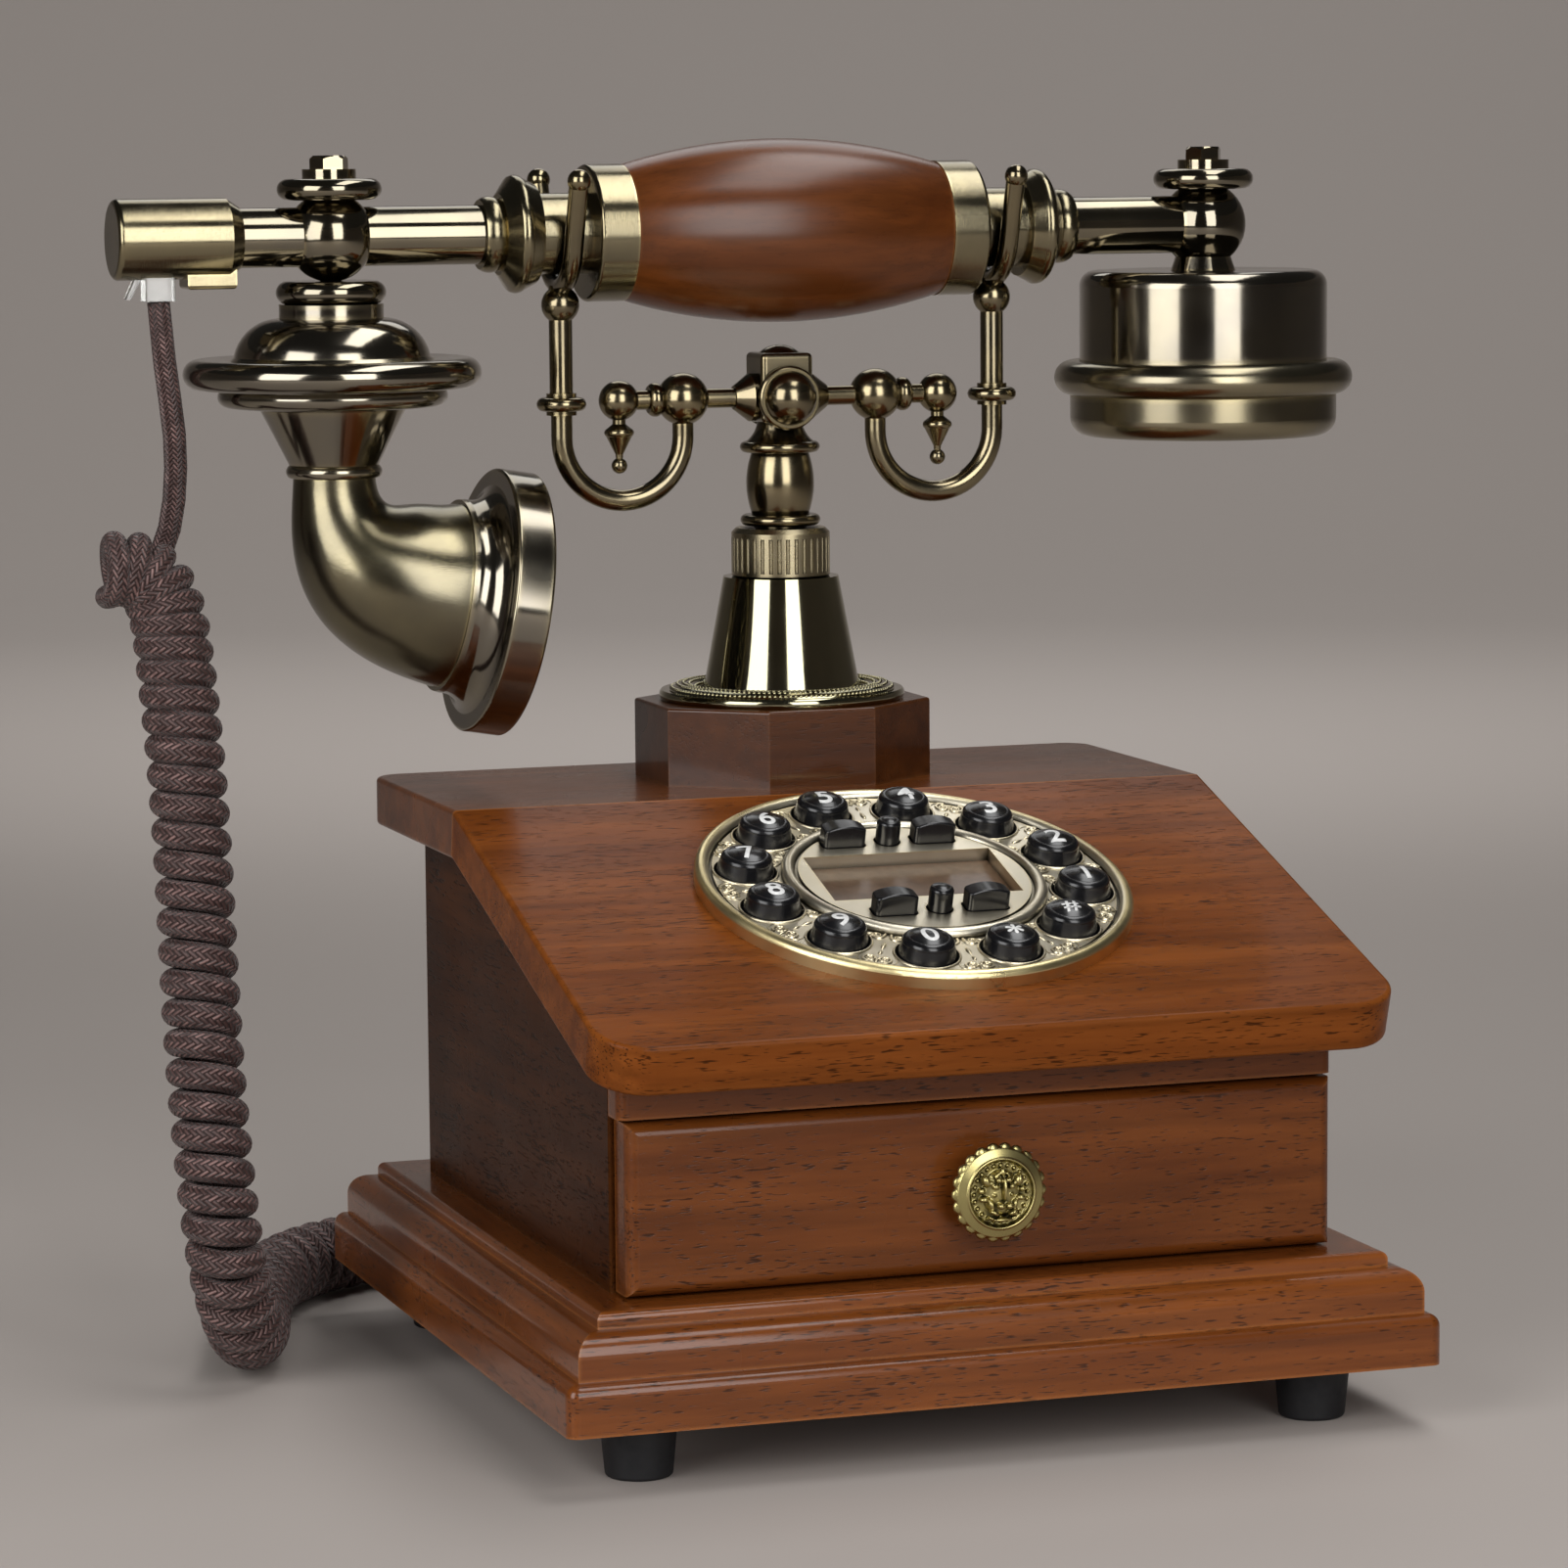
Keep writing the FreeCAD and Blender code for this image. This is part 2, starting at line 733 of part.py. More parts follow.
def ball_joints():
    """Left ball with the bead over the mouthpiece, right ball with the receiver's foot."""
    ball = Part.makeSphere(ball_radius)
    low = mouth_top()
    bead = ((ball_radius + 2.6, low + 2.9), (ball_radius + 0.3, low + 5.8))
    ring = turned([(0, low), (ball_radius + 0.3, low), bead, (0, low + 5.8)])
    left = moved(one_solid(ball, ring), -ball_x, 0, 0).cut(tube_bore(-ball_x - 30, -ball_x + 30))
    low = receiver_top()
    foot = turned([(0, low), (8.6, low), (7.2, low + 4), (0, low + 4)])
    right = moved(one_solid(ball, foot), ball_x, 0, 0).cut(tube_bore(ball_x - 30, ball_x))
    return in_cradle(Part.makeCompound([left, right]))


def finial_nuts():
    """Bead washer, thin collar and hexagon nut on top of each ball."""
    low = 0.82 * ball_radius
    high = low + washer_height
    seat = high + nut_seat_height
    top = seat + nut_height
    bead = ((washer_radius, (low + high) / 2), (washer_radius - 2.2, high))
    washer = turned([
        (0, low), (washer_radius - 2.2, low), bead,
        (nut_seat_radius, high), (nut_seat_radius, seat), (0, seat),
    ])
    corner = nut_flats / math.sqrt(3)
    turns = [math.radians(60 * i) for i in range(6)]
    points = [(corner * math.cos(turn), corner * math.sin(turn)) for turn in turns]
    nut = outline_face(points, lambda p: V(p[0], p[1], seat)).extrude(V(0, 0, nut_height))
    crown = turned([
        (0, high), (corner + 0.6, high), (corner + 0.6, top - 1.4), (nut_flats / 2 - 0.3, top), (0, top),
    ])
    finial = one_solid(washer, nut.common(crown)).cut(Part.makeSphere(ball_radius))
    return in_cradle(Part.makeCompound([moved(finial, -ball_x, 0, 0), moved(finial, ball_x, 0, 0)]))


def cord_end_cap():
    """Cylinder on the tube's left end, with the socket for the cord's plug underneath."""
    radius = cap_outer_radius
    end, edge = cap_start + cap_length, 1.4
    cap = turned([
        (0, cap_start), (tube_radius + 0.5, cap_start), (radius, cap_start + 3.2), (radius, end - edge),
        arc_by((radius - edge, end - edge), edge, 45, 90), (0, end),
    ])
    cap = mirrored(along_x(cap))
    lip = box(-socket_x + 6.5, -cap_start - 1.5, -5, 5, -radius - 2.4, -radius + 2.5)
    lip = rounded(lip, 1.0, lambda m, d: m.z < -radius - 2)
    bore = tube_bore(-cap_start - 9.0, -cap_start + 1)
    half_x, half_y = plug_width / 2 + plug_gap, plug_height / 2 + plug_gap
    socket_top = plug_inside + plug_gap - radius
    socket = box(-socket_x - half_x, -socket_x + half_x, -half_y, half_y, -radius - 5, socket_top)
    notch = box(-socket_x - half_x - 2.4, -socket_x, -2, 2, -radius - 5, socket_top - 2.5)
    return in_cradle(one_solid(cap, lip).cut([bore, socket, notch]))


def at_mouth(shape):
    return in_cradle(moved(shape, -ball_x, 0, mouth_top()))


def mouthpiece_canopy():
    """Step, dome and thick round-edged saucer under the left ball."""
    rim_low = -canopy_height
    rim_top = rim_low + saucer_thick
    inner = saucer_radius - saucer_round
    hollow = bowl_radius - saucer_round
    step_low = -canopy_step_height
    neck = elbow_radius - horn_wall
    dome_z = step_low - 0.25 * (step_low - rim_top)
    canopy = turned([
        (neck, 0), (canopy_step_radius, 0), (canopy_step_radius, step_low),
        ((0.86 * canopy_radius, dome_z - 0.8), (canopy_radius, rim_top + 0.5)),
        (canopy_radius + 0.8, rim_top - 0.4),
        (inner, rim_top), ((saucer_radius, (rim_top + rim_low) / 2), (inner, rim_low)),
        (hollow, rim_low), ((0.72 * hollow, dome_z - horn_wall - 0.6), (neck, step_low - horn_wall)),
    ])
    return at_mouth(canopy)


def mouthpiece_cup():
    top = -canopy_height
    low = top - cup_height
    ring = cup_ring_height
    neck = elbow_radius - horn_wall
    bowl_low = top - bowl_height
    cup = turned([
        (cup_radius - horn_wall, top), (bowl_radius - 0.8, top),
        ((bowl_radius, top - 0.43 * bowl_height), (bowl_radius - 3, bowl_low)),
        (cup_radius, bowl_low - 0.8), (1.08 * elbow_radius, low + ring), (1.1 * elbow_radius, low + ring),
        ((1.17 * elbow_radius, low + ring / 2), (1.1 * elbow_radius, low)), (neck, low),
        (neck, low + ring), (cup_radius - horn_wall, bowl_low - 0.4),
    ])
    return at_mouth(cup)


def elbow_sections():
    """Places, radii and turns of the elbow's rings, from the cup to the bell."""
    turn = 90 - bell_tilt
    growth = elbow_end_radius - elbow_radius
    return [
        (0.0, 0.0, elbow_radius, 0),
        (0.017 * elbow_reach, -0.24 * elbow_fall, elbow_radius + 0.09 * growth, 0.12 * turn),
        (0.184 * elbow_reach, -0.612 * elbow_fall, elbow_radius + 0.5 * growth, 0.52 * turn),
        (0.583 * elbow_reach, -0.887 * elbow_fall, elbow_radius + 0.83 * growth, 0.84 * turn),
        (elbow_reach, -elbow_fall, elbow_end_radius, turn),
    ]


def elbow_loft(wall):
    """The elbow's solid, smaller all round by a wall."""
    rings = []
    for x, z, radius, turn in elbow_sections():
        lean = math.radians(turn)
        ring = Part.makeCircle(radius - wall, V(x, 0, z), V(math.sin(lean), 0, -math.cos(lean)))
        rings.append(Part.Wire([ring]))
    return Part.makeLoft(rings, True)


def mouthpiece_elbow():
    elbow = elbow_loft(0).cut(elbow_loft(horn_wall))
    return at_mouth(moved(elbow, 0, 0, -canopy_height - cup_height))


def at_bell(shape):
    """Move a piece turned about Z onto the elbow's end, facing away from it."""
    x, z, radius, turn = elbow_sections()[-1]
    facing = shape.rotated(ORIGIN, Y_AXIS, 180 - turn)
    return at_mouth(moved(facing, x, 0, z - canopy_height - cup_height))


def bell_floor():
    return 0.6 * bell_thick + 0.7 * bell_collar


def mouthpiece_bell():
    """Flared collar and thick disc, dished in front down to the microphone's seat."""
    disc = bell_collar
    face = disc + bell_thick
    seat = 0.56 * bell_radius
    back = bell_floor() - 2.5
    neck = elbow_end_radius - horn_wall
    bell = turned([
        (0, back), (neck, back), (neck, 0), (elbow_end_radius + 0.9, 0), (elbow_end_radius + 1.2, 1.4),
        ((elbow_end_radius + 2.0, 0.64 * disc), (0.87 * bell_radius, disc)), (bell_radius - 0.8, disc),
        arc_by((bell_radius - 0.8, disc + 0.8), 0.8, -45, 0), (bell_radius, face - 0.8),
        arc_by((bell_radius - 0.8, face - 0.8), 0.8, 45, 90), (bell_radius - 3.2, face),
        ((0.78 * bell_radius, bell_floor() + 2.0), (seat, bell_floor())), (0, bell_floor()),
    ])
    return at_bell(bell)


def at_receiver(shape):
    return in_cradle(moved(shape, ball_x, 0, receiver_top()))


def receiver_shell():
    radius, wall, height = receiver_radius, receiver_wall, receiver_height
    corner = 4.0
    shell = turned([
        (0, 0), (radius - corner, 0), arc_by((radius - corner, -corner), corner, 45, 0), (radius, -height),
        (radius - wall, -height), (radius - wall, -wall - 1), (0, -wall - 1),
    ])
    return at_receiver(shell)


def receiver_cap():
    """Beaded ring and rounded ear cap, open in the middle."""
    top = -receiver_height
    bead_height = receiver_bead_height
    low = top - receiver_cap_height
    ledge = low + ear_ledge
    edge = 0.25 * receiver_cap_height
    seat = receiver_radius - receiver_wall - 2
    opening = ear_hole_radius
    cap = turned([
        (seat, top), (receiver_cap_radius, top),
        ((receiver_bead_radius, top - bead_height / 2), (receiver_cap_radius, top - bead_height)),
        (receiver_cap_radius, low + edge), arc_by((receiver_cap_radius - edge, low + edge), edge, -45, -90),
        (receiver_cap_radius - 8, low), ((0.62 * receiver_cap_radius, low + 2.6), (opening, low + 3.6)),
        (opening, ledge), (seat, ledge),
    ])
    return at_receiver(cap)


def perforated(radius, thick, hole, rings):
    """A disc from z = 0 up, with rings of holes given as (radius, count)."""
    disc = Part.makeCylinder(radius, thick)
    holes = [cylinder(hole, V(0, 0, -1), Z_AXIS, thick + 2)]
    for ring, count in rings:
        for i in range(count):
            turn = 2 * math.pi * i / count
            place = V(ring * math.cos(turn), ring * math.sin(turn), -1)
            holes.append(cylinder(hole, place, Z_AXIS, thick + 2))
    return disc.cut(holes)


def handset_capsules():
    """Perforated discs of the microphone in the bell and of the earpiece in its cap."""
    microphone = perforated(0.5 * bell_radius, 1.6, 1.1, [(4.5, 6), (9.0, 12), (13.5, 18)])
    microphone = at_bell(moved(microphone, 0, 0, bell_floor()))
    ledge = ear_ledge - receiver_height - receiver_cap_height
    seat = receiver_radius - receiver_wall - 2 - plug_gap
    earpiece = perforated(seat, earpiece_thick, 1.1, [(4.5, 6), (9.0, 12)])
    earpiece = at_receiver(moved(earpiece, 0, 0, ledge))
    return Part.makeCompound([microphone, earpiece])


# Dial, made flat about the origin

def key_angles():
    """Angle of each ring key, counted anticlockwise from the right, in degrees."""
    names = ["2", "3", "4", "5", "6", "7", "8", "9", "0", "star", "hash", "1"]
    return [(name, 15 + 30 * i) for i, name in enumerate(names)]


def function_keys():
    """Name, place and kind of each small key round the display."""
    keys = []
    for row, y in (("upper", upper_row), ("lower", lower_row)):
        for side, step, wide in (("left", -1, True), ("middle", 0, False), ("right", 1, True)):
            keys.append((row + "_" + side, step * function_key_step, y, wide))
    return keys


def key_place(angle):
    turn = math.radians(angle)
    return key_circle * math.cos(turn), key_circle * math.sin(turn)


def block(length, width, corner, z0, z1):
    """Bar along X with rounded upright corners."""
    bar = box(-length / 2, length / 2, -width / 2, width / 2, z0, z1)
    return rounded(bar, corner, lambda m, d: abs(d.z) > 0.99 * d.Length)


def ring_key():
    """Round key with a crowned top and the flange that keeps it under the plate."""
    low, edge = -turn_gap - key_flange_thick, key_round
    wide = key_radius + key_flange
    crown = key_shoulder_radius - edge
    return turned([
        (0, low), (wide, low), (wide, -turn_gap), (key_radius, -turn_gap),
        (key_radius, plate_thick), (key_shoulder_radius, key_top - edge),
        arc_by((crown, key_top - edge), edge, 45, 90), dome_to_axis(crown, key_top, key_top + key_crown),
    ])


def wide_key():
    """Bar-shaped key with an arched top."""
    low, top = -turn_gap - key_flange_thick, inner_floor + wide_key_rise
    half, arch = wide_key_length / 2, wide_key_arch
    bend = (half ** 2 + arch ** 2) / (2 * arch)
    body = block(wide_key_length, wide_key_width, wide_key_corner, low, top + 1)
    body = body.common(cylinder(bend, V(0, -wide_key_width, top - bend), Y_AXIS, 2 * wide_key_width))
    body = rounded(body, 0.5, lambda m, d: m.z > top - arch - 0.5)
    flange = block(
        wide_key_length + 2 * key_flange, wide_key_width + 2 * key_flange,
        wide_key_corner + key_flange, low, -turn_gap)
    return one_solid(body, flange)


def round_key():
    low, top, edge = -turn_gap - key_flange_thick, inner_floor + round_key_rise, 1.0
    radius = round_key_radius
    return turned([
        (0, low), (radius + key_flange, low), (radius + key_flange, -turn_gap), (radius, -turn_gap),
        (radius, top - edge), arc_by((radius - edge, top - edge), edge, 45, 90),
        dome_to_axis(radius - edge, top, top + 0.4),
    ])


def dial_plate():
    """Rimmed plate with a raised inner ring, holes for the keys and a window for the display."""
    inner, ring, groove = inner_ring_radius, inner_ring_width, rim_groove
    rim = dial_radius - rim_width
    plate = turned([
        (0, 0), (dial_radius, 0), (dial_radius, rim_height - 1.5),
        ((dial_radius - 0.45 * rim_width, rim_height), (rim, plate_thick)),
        (rim, plate_thick - groove), (rim - groove, plate_thick - groove), (rim - groove, plate_thick),
        (inner + ring, plate_thick), ((inner, inner_ring_height), (inner - ring, inner_floor - groove)),
        (inner - ring - groove, inner_floor - groove), (inner - ring - groove, inner_floor),
        (0, inner_floor),
    ])
    cutters = []
    for name, angle in key_angles():
        x, y = key_place(angle)
        cutters.append(cylinder(key_radius + turn_gap, V(x, y, -1), Z_AXIS, key_top))
    for name, x, y, wide in function_keys():
        if wide:
            length, width = wide_key_length + 2 * turn_gap, wide_key_width + 2 * turn_gap
            hole = block(length, width, wide_key_corner + turn_gap, -1, key_top)
        else:
            hole = cylinder(round_key_radius + turn_gap, V(0, 0, -1), Z_AXIS, key_top)
        cutters.append(moved(hole, x, y, 0))
    half_x, half_y = display_width / 2, display_height / 2
    cutters.append(box(-half_x, half_x, display_rise - half_y, display_rise + half_y, -1, key_top))
    posts = []
    for x, y in board_posts():
        posts.append(cylinder(2.0, V(x, y, -board_drop), Z_AXIS, board_drop + 0.5))
    return on_slope(one_solid(plate.cut(cutters), *posts))


def board_posts():
    reach = inner_ring_radius - 1.2
    return [(reach, 0), (-reach, 0), (0, reach), (0, -reach)]


def display():
    half_x, half_y = display_width / 2, display_height / 2
    top = inner_floor - display_recess
    glass = box(-half_x, half_x, display_rise - half_y, display_rise + half_y, -board_drop, top)
    return on_slope(glass)


def circuit_board():
    """Round board under the plate, with a contact dome under each key and a buzzer below."""
    thick = 1.6
    radius = dial_radius - dial_seat - 2.5
    board = cylinder(radius, V(0, 0, -board_drop - thick), Z_AXIS, thick)
    dome_height = board_drop - turn_gap - key_flange_thick - key_travel - 0.3
    places = [key_place(angle) for name, angle in key_angles()]
    places += [(x, y) for name, x, y, wide in function_keys()]
    parts = [cylinder(1.6, V(x, y, -board_drop - 0.2), Z_AXIS, dome_height + 0.2) for x, y in places]
    parts.append(cylinder(9.0, V(0, -12, -board_drop - thick - 7.0), Z_AXIS, 7.2))
    return on_slope(one_solid(board, *parts))


# Hook switch and spring, under the flat board

def hook_switch():
    """Stirrup under the flat board that carries the spring and the switch."""
    floor_z = plunger_bottom - 12.0
    reach = spring_collar_radius + 4.0
    leg = 2.0
    stirrup = box(-reach - leg, reach + leg, post_y - 9, post_y + 9, floor_z - leg, slab_under)
    stirrup = stirrup.cut(box(-reach, reach, post_y - 10, post_y + 10, floor_z, slab_under + 1))
    body = box(-3.4, 3.4, post_y - 3.4, post_y + 3.4, floor_z, plunger_bottom - 2.5)
    button = cylinder(1.2, V(0, post_y, plunger_bottom - 3.5), Z_AXIS, 3.5)
    return one_solid(stirrup, body, button)


def hook_spring():
    """Compression spring between the stirrup and the column's collar."""
    low, high = plunger_bottom - 12.0 + turn_gap, spring_top
    radius, wire, turns = spring_collar_radius - 2.4, 0.6, 5
    steps = 4 * turns
    rise = high - low - 2 * wire
    places = []
    for i in range(steps + 1):
        turn = math.pi / 2 * i
        point = V(radius * math.cos(turn), radius * math.sin(turn), low + wire + rise * i / steps)
        tangent = V(-radius * math.sin(turn), radius * math.cos(turn), rise / steps / (math.pi / 2))
        places.append((point, tangent.normalize()))
    return moved(wire_tube(biarc_edges(places), wire), 0, post_y, 0)


# Rear jacks and plugs

def jack():
    """Modular jack facing +Z, its face at z = 0."""
    half = jack_size / 2
    body = box(-half, half, -half, half, -jack_depth, jack_proud)
    half_x, half_y = plug_width / 2 + plug_gap, plug_height / 2 + plug_gap
    socket = box(-half_x, half_x, -half_y, half_y, jack_proud - plug_inside - plug_gap - 3.0, jack_proud + 1)
    notch = box(-2.2, 2.2, half_y - 0.1, half_y + 1.9, jack_proud - plug_inside, jack_proud + 1)
    return body.cut([socket, notch])


def rear_jacks():
    jacks = [moved(along_y(jack(), 1), x, case_back, jack_z()) for x in jack_places()]
    return Part.makeCompound(jacks)


def modular_plug():
    """Plug with its nose up at z = plug_inside and its latch on the -X side."""
    low = plug_inside - plug_length
    body = box(-plug_width / 2, plug_width / 2, -plug_height / 2, plug_height / 2, low, plug_inside)
    body = rounded(body, 0.5, lambda m, d: abs(d.z) > 1)
    return body


def plug_latch():
    low = plug_inside - plug_length
    outline = [(0.4, 3.5), (0.4, 2.3), (-3.6, low + 0.4), (-4.6, low + 0.6), (-0.9, 3.5)]
    tab = outline_face(outline, lambda p: V(p[0] - plug_width / 2, -1.6, p[1])).extrude(V(0, 3.2, 0))
    return tab


def handset_plug():
    plug = one_solid(modular_plug(), plug_latch())
    return in_cradle(moved(plug, -socket_x, 0, -cap_outer_radius))


def base_plug():
    plug = along_y(modular_plug(), -1)
    return moved(plug, handset_jack_x, case_back + jack_proud, jack_z())


# Handset cord: a lead, the curls along their axis, and a second lead

def handset_lead():
    """Points of the lead from the handset's plug down behind the first curl."""
    start = handset_z - cap_outer_radius + plug_inside - plug_length - cord_end_gap
    x, y = -socket_x, post_y
    return [
        V(x, y, start),
        V(x + 0.6, y + 0.2, start - 18),
        V(x + 2.4, y + 3.5, start - 35),
        V(x + 4.6, y + 12.0, start - 49),
    ]


def curl_axis():
    """Points of the line that the curls go round, from the top end to behind the base."""
    x, y, top = -socket_x, post_y, handset_z - 80.5
    left, back = -base_width / 2, base_depth / 2
    floor_z = coil_radius + wire_radius + 0.6
    return [
        V(x - 16.5, y - 4.0, top + 0.0),
        V(x - 4.4, y - 5.0, top - 5.2),
        V(x + 1.0, y - 6.5, top - 15.5),
        V(x + 1.6, y - 9.5, top - 38),
        V(x + 2.5, y - 15.0, top - 72),
        V(x + 2.0, y - 22.0, top - 106),
        V(left - 51.5, y - 29.5, floor_z + 66),
        V(left - 50.0, y - 36.8, floor_z + 29.4),
        V(left - 45.1, y - 30.5, floor_z + 11.1),
        V(left - 38.2, y - 15.4, floor_z),
        V(left - 29.0, y + 22.0, floor_z),
        V(left - 16.5, back + 6.0, floor_z),
        V(left + 8.0, back + 31.0, floor_z),
        V(left + 48.0, back + 38.0, floor_z),
        V(left + 92.0, back + 35.0, floor_z),
        V(left + 122.0, back + 36.5, floor_z),
    ]


def base_lead(start, heading):
    """Points of the lead from the last curl up to the plug in the base."""
    exit_y = case_back + jack_proud + plug_length - plug_inside + cord_end_gap
    x, z = handset_jack_x, jack_z()
    return [
        start, start + heading * 0.55 * (z - start.z),
        V(x + 0.5, exit_y + 35.0, z - 2.5),
        V(x, exit_y + 16.0, z - 0.5),
        V(x, exit_y, z),
    ]


def runs_and_arcs(points):
    """Straight runs joined by tangent arcs, as (point, tangent) places and their edges."""
    edges = []
    radii = []
    here = points[0]
    for before, corner, after in zip(points, points[1:], points[2:]):
        into = (corner - before).normalize()
        out = (after - corner).normalize()
        turn = into.getAngle(out)
        reach = 0.45 * min((corner - before).Length, (after - corner).Length)
        radii.append(reach / math.tan(turn / 2))
        start, end = corner - into * reach, corner + out * reach
        bisector = (out - into).normalize()
        middle = corner + bisector * (radii[-1] / math.cos(turn / 2) - radii[-1])
        edges.append(Part.LineSegment(here, start).toShape())
        edges.append(Part.Arc(start, middle, end).toShape())
        here = end
    edges.append(Part.LineSegment(here, points[-1]).toShape())
    return edges, radii


def biarc_edges(places):
    """Two tangent arcs between each place, a (point, tangent), and the next."""
    edges = []
    for (p, t), (q, u) in zip(places, places[1:]):
        gap = q - p
        both = t + u
        a = 2 * (1 - t.dot(u))
        b = 2 * gap.dot(both)
        c = gap.dot(gap)
        reach = c / b if abs(a) < 1e-9 else (-b + math.sqrt(b * b + 4 * a * c)) / (2 * a)
        joint = (p + q + (t - u) * reach) * 0.5
        edges.append(Part.Arc(p, arc_middle(p, t, joint), joint).toShape())
        edges.append(Part.Arc(joint, arc_middle(q, u * -1, joint), q).toShape())
    return edges


def arc_middle(start, tangent, end):
    """Middle of the arc that leaves a point along its tangent and ends at another point."""
    chord = end - start
    along = chord.Length
    lean = tangent.getAngle(chord)
    side = (tangent - chord * (tangent.dot(chord) / along ** 2)).normalize()
    return (start + end) * 0.5 + side * (along / 2 * math.tan(lean / 2))


def wire_tube(edges, radius):
    """Solid tube along tangent lines and arcs."""
    path = Part.Wire(Part.__sortEdges__(edges))
    first = path.OrderedEdges[0]
    start = path.OrderedVertexes[0].Point
    heading = first.tangentAt(first.FirstParameter)
    ring = Part.Wire([Part.makeCircle(radius, start, heading)])
    return path.makePipeShell([ring], True, False)


def axis_stations():
    """Close stations along the curls' axis: point, heading, curvature and distance."""
    edges, radii = runs_and_arcs(curl_axis())
    print("curl axis radii mm:", [round(r, 1) for r in radii])
    stations = []
    distance = 0.0
    for edge in edges:
        curved = edge.Curve.TypeId != "Part::GeomLine"
        bend = 1 / edge.Curve.Radius if curved else 0.0
        count = max(2, int(edge.Length / 0.25))
        for i in range(count):
            along = edge.Length * i / count
            place = edge.getParameterByLength(along)
            stations.append((edge.valueAt(place), edge.tangentAt(place), bend, distance + along))
        distance += edge.Length
    return stations


def curl_rounds():
    """The turn and the place at each station, wider apart where the curls' axis bends."""
    rounds = []
    side = None
    turn = 0.0
    last = 0.0
    for point, heading, bend, distance in axis_stations():
        if side is None:
            side = heading.cross(Y_AXIS)
        side = (side - heading * side.dot(heading)).normalize()
        pitch = (2 * wire_radius + coil_clearance) / (1 - 1.2 * coil_radius * bend)
        turn += 2 * math.pi * (distance - last) / pitch
        last = distance
        angle = first_curl_angle() - turn
        other = heading.cross(side)
        offset = side * math.cos(angle) + other * math.sin(angle)
        around = side * math.sin(angle) - other * math.cos(angle)
        tangent = around * coil_radius + heading * (pitch / (2 * math.pi))
        rounds.append((turn, (point + offset * coil_radius, tangent.normalize())))
    return rounds


def curl_places():
    """A place each quarter turn of the curls, and a last one where the wire heads up."""
    quarter = math.pi / 2
    rounds = curl_rounds()
    final_turn = [r for r in rounds if r[0] > rounds[-1][0] - 4 * quarter]
    last_turn, last_place = max(final_turn, key=lambda r: r[1][1].z)
    places = []
    for turn, place in rounds:
        if turn >= len(places) * quarter and turn < last_turn - quarter / 2:
            places.append(place)
    return places + [last_place]


def first_curl_angle():
    return math.radians(-90)


def least_gap(points, reach):
    """Least clear distance between parts of the tube that are more than reach points apart."""
    cell = 2 * wire_radius + 3
    grid = {}
    for i, p in enumerate(points):
        grid.setdefault((int(p.x // cell), int(p.y // cell), int(p.z // cell)), []).append(i)
    least = cell
    for (a, b, c), here in grid.items():
        near = []
        for da in (-1, 0, 1):
            for db in (-1, 0, 1):
                for dc in (-1, 0, 1):
                    near += grid.get((a + da, b + db, c + dc), [])
        for i in here:
            for j in near:
                if j - i > reach:
                    least = min(least, (points[i] - points[j]).Length)
    return least - 2 * wire_radius


def handset_cord():
    curls = curl_places()
    upper = handset_lead()
    upper_edges, upper_radii = runs_and_arcs(upper)
    lower_edges, lower_radii = runs_and_arcs(base_lead(*curls[-1]))
    print("lead radii mm:", [round(r, 1) for r in upper_radii + lower_radii])
    lead_end = (upper[-1], (upper[-1] - upper[-2]).normalize())
    edges = upper_edges + biarc_edges([lead_end] + curls) + lower_edges
    length = sum(edge.Length for edge in edges)
    tube = wire_tube(edges, wire_radius)
    tightest = min(e.Curve.Radius for e in edges if e.Curve.TypeId == "Part::GeomCircle")
    step = 0.5
    points = []
    for edge in edges:
        count = max(1, int(edge.Length / step))
        points += [edge.valueAt(edge.getParameterByLength(edge.Length * i / count)) for i in range(count)]
    section = math.pi * wire_radius ** 2
    print("cord length mm:", round(length), "turns:", len(curls) / 4)
    print("tightest radius mm:", round(tightest, 2))
    print("cord volume against section times length:", round(tube.Volume / (section * length), 4))
    print("least gap of the cord to itself mm:", round(least_gap(points, int(4 * wire_radius / step) + 8), 2))
    return tube


nodes = {
    "base_board": base_board(),
    "base_moulding": base_moulding(),
    "rubber_feet": rubber_feet(),
    "side_panels": side_panels(),
    "back_panel": back_panel(),
    "divider_shelf": divider_shelf(),
    "top_board": top_board(),
    "slope_board": slope_board(),
    "post_plinth": post_plinth(),
    "post_cone": post_cone(),
    "fluted_collar": fluted_collar(),
    "dial_plate": dial_plate(),
    "display": display(),
    "circuit_board": circuit_board(),
    "rear_jacks": rear_jacks(),
    "hook_switch": hook_switch(),
    "drawer_front": drawer_front(),
    "drawer_tray": drawer_tray(),
    "drawer_knob": drawer_knob(),
    "cradle_column": cradle_column(),
    "cradle_arms": both_sides(right_arm()),
    "cap_nuts": cap_nuts(),
    "hook_right": right_hook(),
    "hook_left": mirrored(right_hook()),
    "hook_spring": hook_spring(),
    "handset_grip": handset_grip(),
    "ferrules": ferrules(),
    "neck_collars": neck_collars(),
    "handset_tube": handset_tube(),
    "ball_joints": ball_joints(),
    "finial_nuts": finial_nuts(),
    "cord_end_cap": cord_end_cap(),
    "mouthpiece_canopy": mouthpiece_canopy(),
    "mouthpiece_cup": mouthpiece_cup(),
    "mouthpiece_elbow": mouthpiece_elbow(),
    "mouthpiece_bell": mouthpiece_bell(),
    "receiver_shell": receiver_shell(),
    "receiver_cap": receiver_cap(),
    "handset_capsules": handset_capsules(),
    "handset_plug": handset_plug(),
    "base_plug": base_plug(),
    "handset_cord": handset_cord(),
}
